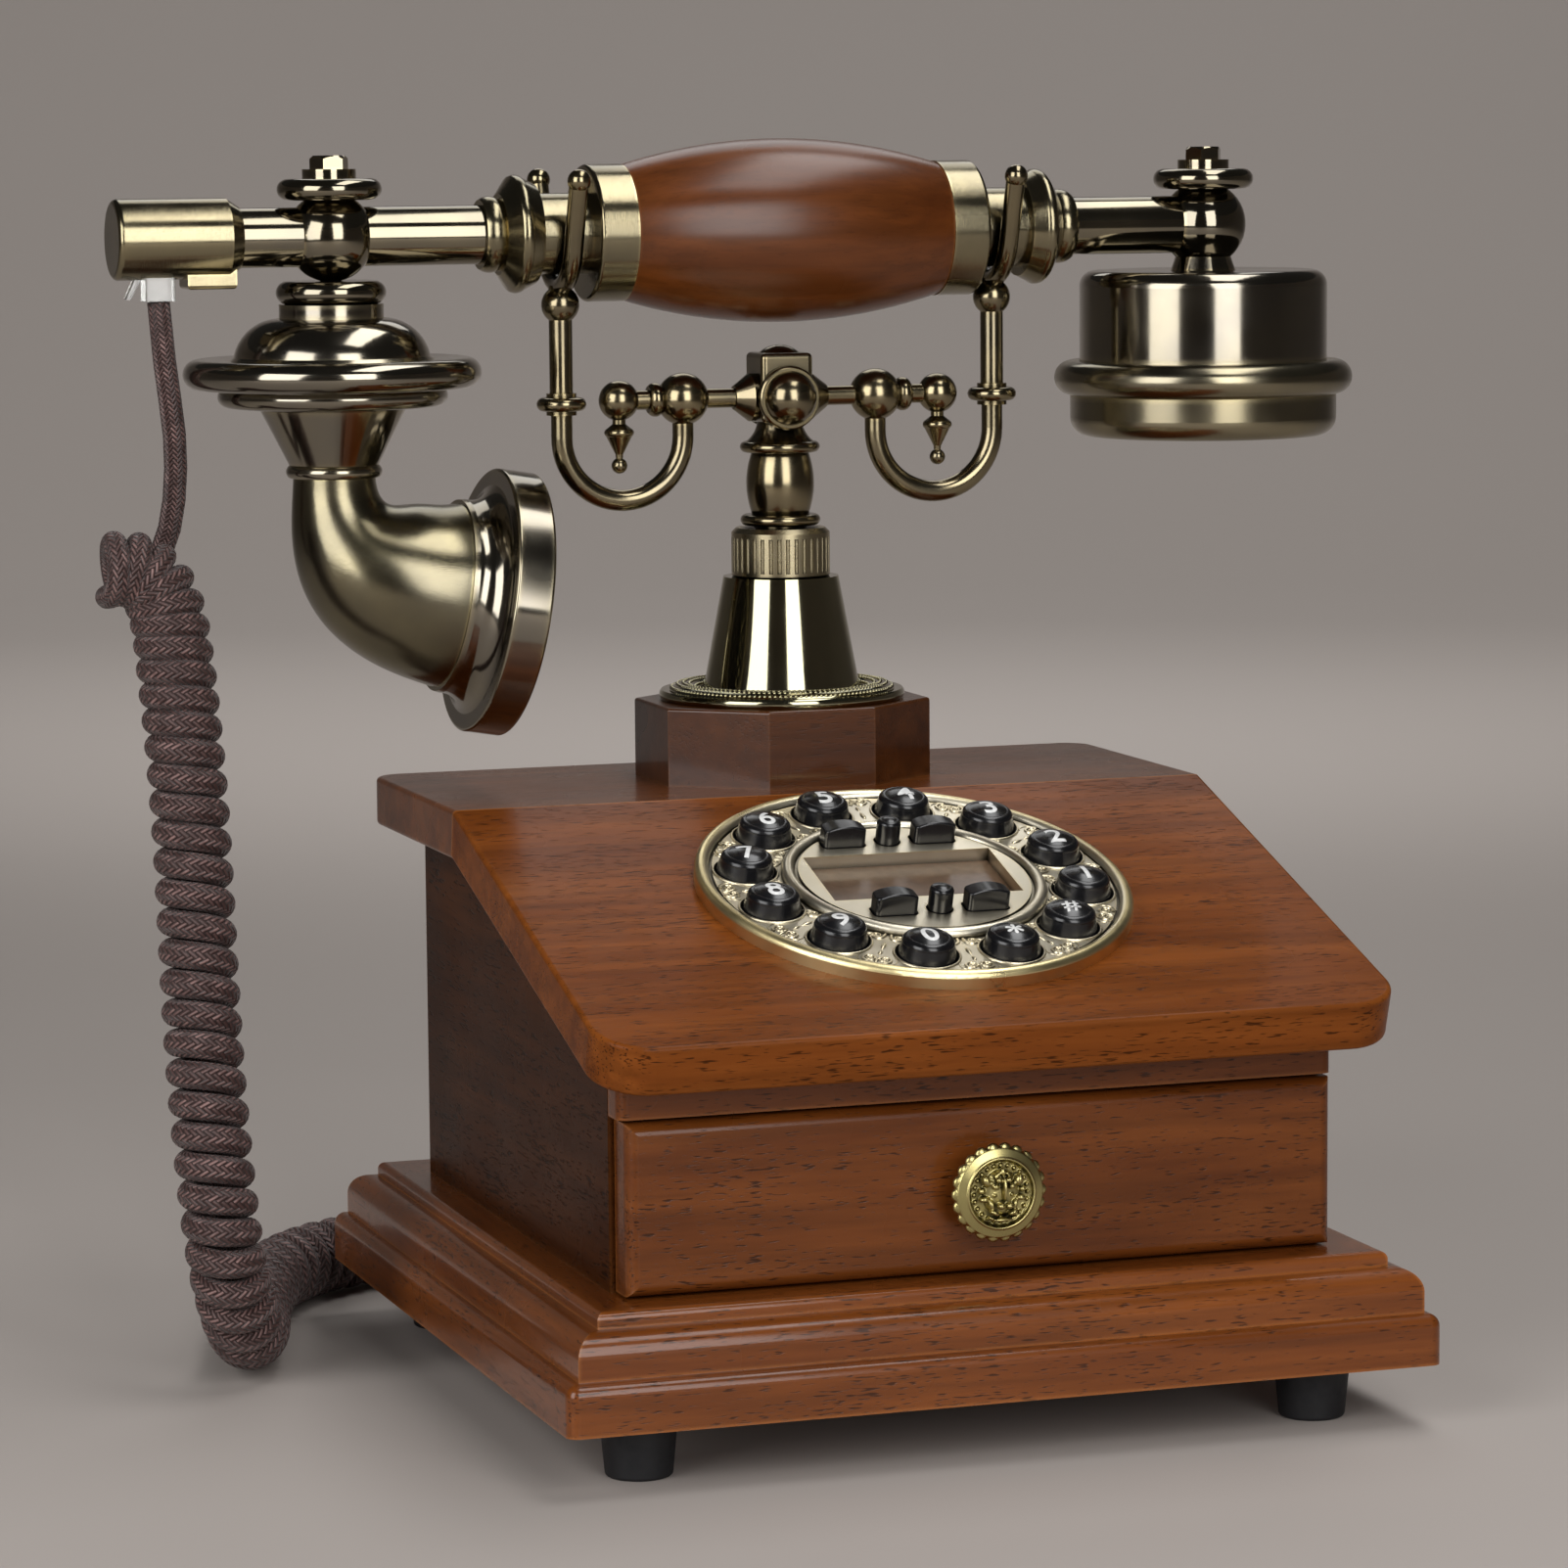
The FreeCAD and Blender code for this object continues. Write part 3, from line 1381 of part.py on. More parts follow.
for name, angle in key_angles():
    x, y = key_place(angle)
    nodes["key_" + name] = on_slope(moved(ring_key(), x, y, 0))
for name, x, y, wide in function_keys():
    nodes["key_" + name] = on_slope(moved(wide_key() if wide else round_key(), x, y, 0))

# The origin of the finished part is on the floor under the middle of its box without the cord
to_middle = (left_reach - right_reach) / 2
for name, shape in nodes.items():
    moved(shape, to_middle, 0, 0).exportStep("parts/" + name + ".step")
print(len(nodes), "nodes written")
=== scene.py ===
# %% [markdown]
# # A cradle telephone in the old French style
# The solids of the telephone come ready made, with their joints. This lesson dresses them: it adds
# the curled cord, the numerals, the ornament and the finishes, and then sets up a small studio.
# Everything is in metres. X runs to the right along the front, Y to the back and Z up.

# %% Load the solids
import math

import bpy
from mathutils import Matrix, Vector


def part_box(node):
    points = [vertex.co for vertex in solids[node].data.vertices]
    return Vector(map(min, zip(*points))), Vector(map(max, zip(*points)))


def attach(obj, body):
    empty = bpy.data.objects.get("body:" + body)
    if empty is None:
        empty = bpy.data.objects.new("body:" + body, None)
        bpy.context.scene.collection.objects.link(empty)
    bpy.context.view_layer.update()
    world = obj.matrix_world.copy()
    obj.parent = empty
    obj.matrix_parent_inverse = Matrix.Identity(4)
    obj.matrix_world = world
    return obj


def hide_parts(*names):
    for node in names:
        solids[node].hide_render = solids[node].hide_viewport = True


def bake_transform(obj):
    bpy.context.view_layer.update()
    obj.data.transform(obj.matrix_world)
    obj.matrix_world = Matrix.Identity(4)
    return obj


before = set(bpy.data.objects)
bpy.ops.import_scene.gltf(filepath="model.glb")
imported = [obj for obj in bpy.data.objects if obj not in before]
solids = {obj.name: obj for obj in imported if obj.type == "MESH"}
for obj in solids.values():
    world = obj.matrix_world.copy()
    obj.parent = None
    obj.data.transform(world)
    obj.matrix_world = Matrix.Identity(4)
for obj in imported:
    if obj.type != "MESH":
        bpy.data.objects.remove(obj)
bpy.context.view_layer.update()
base_low, base_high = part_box("base_board")
base_middle = Vector(((base_low.x + base_high.x) / 2, (base_low.y + base_high.y) / 2, 0))
print("solids:", len(solids), "base middle:", tuple(round(c, 4) for c in base_middle))


def on_base(x, y, z):
    """A place given in millimetres from the middle of the base, as it stands on the floor."""
    return base_middle + Vector((x, y, z)) / 1000


# %% [markdown]
# ## The camera
# A long lens far away keeps the uprights nearly parallel, as in a product photograph. The camera's
# place and turn are given as numbers rather than by a tracking constraint, so that it can also have
# the photograph's very slight roll.

# %% The camera
camera_place = on_base(-458.6, -1303.5, 315.6)
yaw, pitch, roll = math.radians(18.62), math.radians(-6.85), math.radians(-0.47)
forward = Vector((math.sin(yaw) * math.cos(pitch), math.cos(yaw) * math.cos(pitch), math.sin(pitch)))
level = Vector((math.cos(yaw), -math.sin(yaw), 0))
upward = level.cross(forward)
image_right = level * math.cos(roll) + upward * math.sin(roll)
image_up = upward * math.cos(roll) - level * math.sin(roll)

bpy.ops.object.select_all(action="DESELECT")
bpy.ops.object.camera_add()
camera = bpy.context.object
camera.data.lens = 127.26
camera.data.sensor_width = 36
turn = Matrix((image_right, image_up, -forward)).transposed()
camera.matrix_world = Matrix.Translation(camera_place) @ turn.to_4x4()
bpy.context.scene.camera = camera
print("camera at", tuple(round(c, 3) for c in camera_place))

# %% [markdown]
# ## The route of the curled cord
# The handset's cord is a braided wire wound into a long spring. It leaves a clear plug under the
# handset's end, hangs beside the base, runs behind it on the floor and goes up into a jack.
# A smooth spline with a few control points gives the line that the curls go round. At the top the line
# bends over to the left, a kink that such cords keep. The spline's points are read back, and the wire is
# wound round them step by step: at each point it turns a little further. The turns lie close together
# at the top, hang a little looser below, and crowd where the line bends. The lead from the plug goes
# down behind the first curls and comes forward under them.

# %% Read a smooth route from a spline
def read_route(name, control_points, steps):
    """The points of a smooth spline with these control points."""
    curve = bpy.data.curves.new(name, "CURVE")
    curve.dimensions = "3D"
    curve.resolution_u = steps
    spline = curve.splines.new("NURBS")
    spline.points.add(len(control_points) - 1)
    for point, place in zip(spline.points, control_points):
        point.co = (*place, 1.0)
    spline.order_u = 3
    spline.use_endpoint_u = True
    holder = bpy.data.objects.new(name, curve)
    line = bpy.data.meshes.new_from_object(holder)
    places = [line.vertices[0].co.copy()]
    for vertex in line.vertices:
        if (vertex.co - places[-1]).length > 1e-6:
            places.append(vertex.co.copy())
    bpy.data.meshes.remove(line)
    bpy.data.objects.remove(holder)
    bpy.data.curves.remove(curve)
    return places


curl_line = read_route("curl_line", [
    on_base(-179.0, 52.0, 205.4), on_base(-173.4, 52.6, 206.2), on_base(-167.0, 52.8, 202.8),
    on_base(-163.6, 52.0, 194.5), on_base(-162.4, 50.0, 180.0), on_base(-161.2, 46.5, 158.0),
    on_base(-160.5, 43.8, 134.4), on_base(-161.0, 36.8, 100.4),
    on_base(-161.5, 29.3, 76.3), on_base(-160.0, 22.0, 39.7), on_base(-155.1, 28.3, 21.4),
    on_base(-148.2, 43.4, 10.3), on_base(-139.0, 80.8, 10.3), on_base(-126.5, 117.0, 10.3),
    on_base(-102.0, 142.0, 10.3), on_base(-62.0, 149.0, 10.3), on_base(-18.0, 146.0, 10.3),
    on_base(12.0, 147.5, 10.3),
], steps=100)
print("points on the curls' line:", len(curl_line))

# %% Wind the wire round the line
coil_radius = 0.0065
close_pitch, open_pitch = 0.0052, 0.0076
loose_after = 0.08
crowding = 0.35

curls = []
travelled = 0.0
headings = [(b - a).normalized() for a, b in zip(curl_line, curl_line[1:])]
side = headings[0].cross(Vector((0, 1, 0))).normalized()
wound = 0.0
for i, heading in enumerate(headings):
    step = (curl_line[i + 1] - curl_line[i]).length
    bend = 0.0
    if i:
        side.rotate(headings[i - 1].rotation_difference(heading))
        bend = headings[i - 1].angle(heading) / step
    other = heading.cross(side)
    angle = -math.pi - wound
    curls.append(curl_line[i] + coil_radius * (side * math.cos(angle) + other * math.sin(angle)))
    travelled += step
    loose = min(1.0, travelled / loose_after)
    pitch_here = close_pitch + loose * (open_pitch - close_pitch)
    pitch_here *= 1 - crowding * coil_radius * bend
    wound += 2 * math.pi * step / pitch_here

last_turn = range(len(curls) - 60, len(curls) - 1)
leave = max(last_turn, key=lambda i: (curls[i + 1] - curls[i]).normalized().z)
curls = curls[:leave + 1]
print("curls:", round(wound / (2 * math.pi), 1))

# %% Join the leads to the curls
handset_lead = [on_base(-163.0, 58.8, 271.4), on_base(-161.8, 59.0, 255.0), on_base(-158.6, 62.0, 238.0),
                on_base(-157.6, 68.5, 221.0), on_base(-160.5, 71.0, 207.0), on_base(-169.0, 70.5, 199.0),
                on_base(-177.5, 64.0, 197.6)]
base_lead = [on_base(11.0, 143.0, 35.0), on_base(10.5, 123.2, 53.7),
             on_base(10.0, 104.2, 55.7), on_base(10.0, 88.2, 56.2)]
cord_line = read_route("cord_line", handset_lead + curls + base_lead, steps=2)
along_cord = [0.0]
for here, there in zip(cord_line, cord_line[1:]):
    along_cord.append(along_cord[-1] + (there - here).length)

# %% [markdown]
# ## The braided sleeve
# The wire's sleeve is plaited from two sets of yarns that run round it in opposite directions. It bunches
# up in the curls, so the cord is thicker there than in the straight leads. The tube gets a UV map that
# counts turns round the wire and stitches along it. The finish below plaits the yarns in this map, so
# they keep their size and slant however the cord winds.

# %% How thick the sleeve is
lead_radius, wire_radius = 0.00285, 0.0035
begin_early, thicken_over, thin_over = 0.1, 0.4, 0.1
curls_begin = min(range(len(cord_line)), key=lambda i: (cord_line[i] - curls[0]).length)
curls_end = min(range(len(cord_line)), key=lambda i: (cord_line[i] - curls[-1]).length)
sleeve = []
for along in along_cord:
    into_curls = along - along_cord[curls_begin] + begin_early
    left_of_curls = along_cord[curls_end] - along
    swell = min(1.0, into_curls / thicken_over, left_of_curls / thin_over)
    sleeve.append(lead_radius + (wire_radius - lead_radius) * max(0.0, swell))
print("sleeve radius:", min(sleeve), "to", max(sleeve))


# %% Build the sleeve
def braided_tube(name, line, radii, lengths, sides):
    """A closed tube along a line, with a UV map that counts turns round it and its lengths."""
    places, faces, turns = [], [], []
    heading = (line[1] - line[0]).normalized()
    side = heading.orthogonal().normalized()
    for i, (place, radius) in enumerate(zip(line, radii)):
        ahead = (line[min(i + 1, len(line) - 1)] - line[max(i - 1, 0)]).normalized()
        side.rotate(heading.rotation_difference(ahead))
        heading = ahead
        side = (side - heading * side.dot(heading)).normalized()
        other = heading.cross(side)
        for j in range(sides):
            angle = 2 * math.pi * j / sides
            places.append(place + radius * (side * math.cos(angle) + other * math.sin(angle)))
    rows = len(line)
    for i in range(rows - 1):
        for j in range(sides):
            k = (j + 1) % sides
            faces.append((i * sides + j, i * sides + k, (i + 1) * sides + k, (i + 1) * sides + j))
            u, v = j / sides, (j + 1) / sides
            turns += [(u, lengths[i]), (v, lengths[i]), (v, lengths[i + 1]), (u, lengths[i + 1])]
    first, last = tuple(reversed(range(sides))), tuple(range((rows - 1) * sides, rows * sides))
    faces += [first, last]
    turns += [(0.0, lengths[0])] * sides + [(0.0, lengths[-1])] * sides
    mesh = bpy.data.meshes.new(name)
    mesh.from_pydata(places, [], faces)
    uv = mesh.uv_layers.new(name="braid")
    for loop, pair in zip(uv.data, turns):
        loop.uv = pair
    mesh.shade_smooth()
    piece = bpy.data.objects.new(name, mesh)
    bpy.context.scene.collection.objects.link(piece)
    return piece


stitch = 0.0014
stitches = [along / stitch for along in along_cord]
curly_cord = braided_tube("curly_cord", cord_line, sleeve, stitches, sides=20)
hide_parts("handset_cord")
print("cord faces:", len(curly_cord.data.polygons))

# %% [markdown]
# ## Tools for modelling
# Most pieces below are made as by hand: a primitive, a few operators in edit mode, a modifier. The
# operators act on all that is selected, so each step first lets go of everything else. A piece is
# modelled near the origin, where its numbers are easy to read, and is then settled: it moves to its
# place, and the place is written into its mesh.

# %% Helpers for picking and placing
mm = 0.001


def start_clean():
    """Leave edit mode and let go of everything."""
    if bpy.context.object and bpy.context.object.mode != "OBJECT":
        bpy.ops.object.mode_set(mode="OBJECT")
    bpy.ops.object.select_all(action="DESELECT")


def pick(*pieces):
    """Select these pieces. The first is the active one."""
    start_clean()
    for piece in pieces:
        piece.select_set(True)
    bpy.context.view_layer.objects.active = pieces[0]


def finish_with(piece, kind, **options):
    """Add a modifier to a piece and apply it."""
    pick(piece)
    modifier = piece.modifiers.new(kind.lower(), kind)
    for option, value in options.items():
        setattr(modifier, option, value)
    bpy.ops.object.modifier_apply(modifier=modifier.name)


def settle(piece, place):
    """Put a piece in its place, and keep the place in its mesh."""
    piece.matrix_world = place
    pick(piece)
    bpy.ops.object.transform_apply()


def copies_at(piece, places):
    """Copies of a piece, each with its own mesh, settled at these places."""
    made = []
    for place in places:
        pick(piece)
        bpy.ops.object.duplicate(linked=False)
        copy = bpy.context.object
        settle(copy, place @ copy.matrix_world)
        made.append(copy)
    return made


def join_as(name, pieces):
    """Join pieces into one."""
    pick(*pieces)
    bpy.ops.object.join()
    pieces[0].name = name
    return pieces[0]


print("helpers for picking and placing ready")


# %% Helpers for turning and repeating
def turn_on_lathe(name, outline, steps):
    """A piece turned round Z from an outline of (radius, height) points in millimetres."""
    start_clean()
    bpy.ops.mesh.primitive_plane_add(size=mm)
    piece = bpy.context.object
    piece.name = name
    bpy.ops.object.mode_set(mode="EDIT")
    bpy.ops.mesh.merge(type="CENTER")
    points = [Vector((radius, 0, height)) * mm for radius, height in outline]
    bpy.ops.transform.translate(value=points[0])
    for here, there in zip(points, points[1:]):
        bpy.ops.mesh.extrude_region_move(TRANSFORM_OT_translate={"value": there - here})
    bpy.ops.mesh.select_all(action="SELECT")
    bpy.ops.mesh.spin(steps=steps, angle=2 * math.pi, center=(0, 0, 0), axis=(0, 0, 1))
    bpy.ops.mesh.select_all(action="SELECT")
    bpy.ops.mesh.remove_doubles(threshold=0.001 * mm)
    bpy.ops.mesh.normals_make_consistent(inside=False)
    bpy.ops.object.mode_set(mode="OBJECT")
    return piece


def round_array(piece, count):
    """Repeat a piece round Z."""
    start_clean()
    bpy.ops.object.empty_add()
    hub = bpy.context.object
    hub.rotation_euler.z = 2 * math.pi / count
    bpy.context.view_layer.update()
    finish_with(piece, "ARRAY", count=count, use_relative_offset=False,
                use_object_offset=True, offset_object=hub)
    bpy.data.objects.remove(hub)


print("helpers for turning and repeating ready")

# %% [markdown]
# ## The numerals
# The round keys carry white figures, moulded in a second shot of plastic so that they never wear off.
# Text gives clean outlines. It is made a mesh, cut into small triangles and dropped on the crowned top
# of its key with a shrinkwrap, because flat figures would sink into the middle of the crown. A thin
# solidify then gives each figure a body. Each one rides on its own key.

# %% The numerals
slope_angle = math.radians(17.5)
dial_frame = Matrix.Translation(on_base(0, -40.58, 127.16)) @ Matrix.Rotation(slope_angle, 4, "X")
key_circle = 41.5 * mm
ring_keys = ["2", "3", "4", "5", "6", "7", "8", "9", "0", "star", "hash", "1"]
gap_angles = [math.radians(30 * i) for i in range(len(ring_keys))]
key_angles = [angle + math.radians(15) for angle in gap_angles]
signs = {"star": "*", "hash": "#"}
sign_heights = {"star": 4.6 * mm, "hash": 5.2 * mm}
numeral_height = 6.4 * mm
numeral_rise = -0.3 * mm
above_keys = 12 * mm
stand_proud, numeral_body = 0.08 * mm, 0.2 * mm


def numeral(key, angle):
    """One figure, dropped on the top of its key."""
    start_clean()
    bpy.ops.object.text_add()
    writing = bpy.context.object
    writing.data.body = signs.get(key, key)
    writing.data.offset = 0.014
    writing.data.resolution_u = 5
    bpy.ops.object.convert(target="MESH")
    piece = bpy.context.object
    piece.name = "numeral_" + key
    low = Vector([min(v.co[axis] for v in piece.data.vertices) for axis in range(3)])
    high = Vector([max(v.co[axis] for v in piece.data.vertices) for axis in range(3)])
    size = sign_heights.get(key, numeral_height) / (high.y - low.y)
    spot = (key_circle * math.cos(angle), key_circle * math.sin(angle) + numeral_rise, above_keys)
    bpy.ops.object.mode_set(mode="EDIT")
    bpy.ops.mesh.select_all(action="SELECT")
    bpy.ops.mesh.remove_doubles(threshold=0.002)
    bpy.ops.mesh.quads_convert_to_tris()
    bpy.ops.mesh.subdivide(number_cuts=5)
    bpy.ops.transform.translate(value=-(low + high) / 2)
    bpy.ops.transform.resize(value=(size, size, size), center_override=(0, 0, 0))
    bpy.ops.transform.translate(value=spot)
    bpy.ops.object.mode_set(mode="OBJECT")
    piece.matrix_world = dial_frame
    bpy.context.view_layer.update()
    finish_with(piece, "SHRINKWRAP", target=solids["key_" + key], wrap_method="PROJECT",
                wrap_mode="ABOVE_SURFACE", use_project_z=True, use_positive_direction=False,
                use_negative_direction=True, offset=stand_proud)
    finish_with(piece, "SOLIDIFY", thickness=numeral_body, offset=-1)
    settle(piece, dial_frame)
    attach(piece, "button_" + key)
    return piece


numerals = [numeral(key, angle) for key, angle in zip(ring_keys, key_angles)]
print("numerals:", len(numerals), "faces:", sum(len(piece.data.polygons) for piece in numerals))

# %% [markdown]
# ## Scrolls on the dial
# The brass plate is stamped with scrollwork in every gap between two keys: a pair of volutes towards
# the rim, and a small spray of leaves towards the middle. A volute is one tapering tube. A ring of six
# points is pushed forward, turned and shrunk a little, again and again, so that the tube curls into
# itself. Half of it is sunk in the plate, and the other half shows as relief.

# %% One volute
plate_top = 3.0
ring_points = 6


def volute(name, start, heading, radius, turns, width, ends=0.45, straight=0.0):
    """A curling tube. Places and sizes are in millimetres on the dial, the heading is in degrees."""
    start_clean()
    step_turn = math.radians(22)
    steps = int(turns * 2 * math.pi / step_turn)
    way = math.radians(heading)
    here = Vector((start[0], start[1], plate_top)) * mm
    bpy.ops.mesh.primitive_circle_add(
        vertices=ring_points, radius=width / 2 * mm, fill_type="NGON", location=here,
        rotation=(0, math.pi / 2, way))
    piece = bpy.context.object
    piece.name = name
    bpy.ops.object.transform_apply()
    bpy.ops.object.mode_set(mode="EDIT")
    shrink = ends ** (1 / steps)
    reach = radius * mm
    if straight:
        forward_step = Vector((math.cos(way), math.sin(way), 0)) * straight * mm
        bpy.ops.mesh.extrude_region_move(TRANSFORM_OT_translate={"value": forward_step})
        here += forward_step
    for i in range(steps):
        way += step_turn
        forward_step = Vector((math.cos(way), math.sin(way), 0)) * reach * step_turn
        bpy.ops.mesh.extrude_region_move(TRANSFORM_OT_translate={"value": forward_step})
        here += forward_step
        bpy.ops.transform.rotate(value=-step_turn, orient_axis="Z", center_override=here)
        bpy.ops.transform.resize(value=(shrink,) * 3, center_override=here)
        reach *= 0.955
    bpy.ops.object.mode_set(mode="OBJECT")
    return piece


def leaf(name, place, heading, length, width):
    """A small drop-shaped leaf that lies on the plate and points along its heading."""
    start_clean()
    bpy.ops.mesh.primitive_uv_sphere_add(segments=8, ring_count=6, radius=mm, rotation=(0, math.pi / 2, 0))
    piece = bpy.context.object
    piece.name = name
    bpy.ops.object.transform_apply()
    bpy.ops.object.mode_set(mode="EDIT")
    bpy.ops.mesh.select_all(action="SELECT")
    bpy.ops.transform.resize(value=(length / 2, width / 2, 0.38), center_override=(0, 0, 0))
    bpy.ops.object.mode_set(mode="OBJECT")
    tip = max(piece.data.vertices, key=lambda vertex: vertex.co.x)
    for part in (piece.data.vertices, piece.data.edges, piece.data.polygons):
        part.foreach_set("select", [False] * len(part))
    tip.select = True
    bpy.ops.object.mode_set(mode="EDIT")
    bpy.ops.transform.translate(value=(length / 4 * mm, 0, 0))
    bpy.ops.object.mode_set(mode="OBJECT")
    spot = Matrix.Translation(Vector((place[0], place[1], plate_top)) * mm)
    settle(piece, spot @ Matrix.Rotation(math.radians(heading), 4, "Z"))
    return piece


half_spray = join_as("half_spray", [
    volute("rim_volute", (49.2, 1.9), 90, 1.95, 1.9, 0.95),
    volute("rim_arc", (49.75, 2.6), 90, 2.9, 0.42, 0.5, ends=0.6),
    volute("stem", (33.0, 0.7), 8, 1.7, 1.55, 0.95, straight=1.6),
    leaf("rim_leaf", (46.6, 0.55), 160, 2.4, 0.8),
    leaf("ring_leaf", (33.9, 4.6), 62, 2.6, 1.1),
    leaf("ring_leaf", (34.6, 3.7), 20, 2.4, 1.0),
])
finish_with(half_spray, "MIRROR", use_axis=(False, True, False), use_mirror_merge=False)
spray = join_as("spray", [
    half_spray, leaf("bud", (39.2, 0), 0, 3.4, 1.3), leaf("bud", (43.4, 0), 180, 2.2, 1.1),
    leaf("bud", (48.2, 0), 180, 3.0, 1.0)])
print("faces in one spray:", len(spray.data.polygons))

# %% Scrolls and collars round the dial
gaps = [dial_frame @ Matrix.Rotation(angle, 4, "Z") for angle in gap_angles]
dial_scrolls = join_as("dial_scrolls", copies_at(spray, gaps))
bpy.data.objects.remove(spray)

collar = turn_on_lathe("collar", [
    (7.65, 2.8), (7.65, 3.2), (7.8, 3.38), (8.05, 3.4), (8.25, 3.25), (8.35, 2.8), (7.65, 2.8)], 40)
key_spots = [(key_circle * math.cos(angle), key_circle * math.sin(angle), 0) for angle in key_angles]
key_collars = join_as("key_collars", copies_at(
    collar, [dial_frame @ Matrix.Translation(spot) for spot in key_spots]))
bpy.data.objects.remove(collar)
for piece in (dial_scrolls, key_collars):
    pick(piece)
    bpy.ops.object.shade_smooth_by_angle(angle=math.radians(50))
    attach(piece, "base")
print("dial scrolls:", len(dial_scrolls.data.polygons), "key collars:", len(key_collars.data.polygons))

# %% [markdown]
# ## The lion knob
# The drawer's knob is a cast rosette: a stem, a disc with rounded lobes round its edge, a thin ring, a
# row of beads and a lion's mask in the middle. Casting melts all the joints into one skin. So the knob
# is put together from simple lumps, like clay, and a voxel remesh then pours one skin over them.

# %% Lumps of the knob
knob_frame = Matrix.Translation(on_base(0, -91.0, 63.35)) @ Matrix.Rotation(math.pi / 2, 4, "X")
knob_floor = 9.1


def lump(place, sizes, tilt=0):
    """An egg-shaped lump at a place on the knob, with its three half sizes in mm and a tilt in degrees."""
    start_clean()
    bpy.ops.mesh.primitive_uv_sphere_add(segments=20, ring_count=12, radius=mm)
    piece = bpy.context.object
    bpy.ops.object.mode_set(mode="EDIT")
    bpy.ops.transform.resize(value=sizes, center_override=(0, 0, 0))
    bpy.ops.object.mode_set(mode="OBJECT")
    settle(piece, Matrix.Translation(Vector(place) * mm) @ Matrix.Rotation(math.radians(tilt), 4, "Z"))
    return piece


def pair_of(place, sizes, tilt=0):
    x, y, z = place
    return [lump((x, y, z), sizes, tilt), lump((-x, y, z), sizes, -tilt)]


rosette = turn_on_lathe("rosette", [
    (0.0, 0.0), (5.4, 0.0), (3.6, 2.2), (3.6, 5.5), (6.5, 7.0), (10.4, 7.0), (10.9, 7.5), (11.0, 8.4),
    (10.6, 8.9), (9.0, 9.5), (8.7, 9.6), (8.55, 9.9), (8.3, 10.0), (8.05, 9.85), (7.9, 9.1), (7.4, 8.7),
    (0.0, 8.6)], 88)
lobe = lump((10.5, 0, 7.75), (1.5, 1.68, 1.0))
round_array(lobe, 22)
bead = lump((6.75, 0, 8.9), (0.48, 0.48, 0.65))
round_array(bead, 24)

mask = [lump((0, 0.1, knob_floor), (4.7, 5.7, 1.7))]
mask += [lump((0, 1.4, 11.3), (0.62, 3.0, 1.7)), lump((0, 5.3, 10.2), (0.75, 1.2, 1.2))]
mask += pair_of((1.3, 4.75, 10.2), (1.25, 0.45, 0.9), -38)
mask += pair_of((1.25, 3.5, 11.0), (0.9, 0.75, 1.2), 20)
mask += pair_of((2.0, 2.0, 11.0), (1.0, 0.72, 1.2), 8)
mask += pair_of((3.0, 2.8, 10.6), (0.7, 0.6, 1.0))
mask += pair_of((4.1, 3.3, 10.1), (1.1, 1.5, 1.5), -20)
mask += pair_of((5.1, 0.95, 9.7), (0.95, 0.8, 1.2))
mask += pair_of((4.6, -1.0, 10.0), (1.35, 0.8, 1.4), -6)
mask += pair_of((2.15, -0.1, 10.5), (0.5, 0.45, 0.6))
mask += pair_of((1.05, -2.5, 11.9), (1.0, 0.85, 1.4), 10)
mask += pair_of((2.9, -2.5, 10.3), (0.8, 1.5, 1.3), -18)
mask += pair_of((2.35, -4.2, 10.9), (1.35, 0.65, 1.4), 25)
mask += pair_of((2.8, -5.65, 10.1), (0.95, 0.5, 1.1), 28)
mask += [lump((0, -6.05, 10.2), (2.9, 0.55, 1.2))]
lion_knob = join_as("lion_knob", [rosette, lobe, bead] + mask)
print("lumps of the mask:", len(mask))

# %% Pour one skin over the lumps
finish_with(lion_knob, "REMESH", mode="VOXEL", voxel_size=0.15 * mm)
finish_with(lion_knob, "SMOOTH", factor=0.5, iterations=2)
settle(lion_knob, knob_frame)
pick(lion_knob)
bpy.ops.object.shade_smooth()
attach(lion_knob, "drawer")
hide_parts("drawer_knob")
print("knob faces:", len(lion_knob.data.polygons))

# %% [markdown]
# ## Grains on the flange
# The round swell at the foot of the post is covered with small grains, pressed into the metal to catch
# the light. One grain is a flattened ball of few faces. An array turns it round the post once for each
# row, and each row climbs a little further over the swell.

# %% The grains
post_middle = on_base(0, 58.8, 0)
swell_middle, swell_half, swell_height = 25.7, 3.8, 1.6
swell_foot = 168.3
grain_size, grain_sunk = 0.62, 0.12
grain_rows = 5

rows = []
for i in range(grain_rows):
    across = -0.8 + 1.6 * i / (grain_rows - 1)
    radius = swell_middle + swell_half * across
    height = swell_foot + swell_height * (1 - across ** 2)
    start_clean()
    bpy.ops.mesh.primitive_ico_sphere_add(subdivisions=1, radius=grain_size * mm)
    grain = bpy.context.object
    bpy.ops.object.mode_set(mode="EDIT")
    bpy.ops.transform.resize(value=(1.0, 1.0, 0.8), center_override=(0, 0, 0))
    bpy.ops.object.mode_set(mode="OBJECT")
    spot = Matrix.Translation(Vector((radius, 0, height - grain_sunk)) * mm)
    settle(grain, spot @ Matrix.Rotation(i * 1.1, 4, "Z"))
    round_array(grain, int(2 * math.pi * radius / (2.15 * grain_size)))
    rows.append(grain)
flange_grains = join_as("flange_grains", rows)
settle(flange_grains, Matrix.Translation(post_middle))
pick(flange_grains)
bpy.ops.object.shade_smooth_by_angle(angle=math.radians(70))
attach(flange_grains, "base")
print("grain faces:", len(flange_grains.data.polygons))

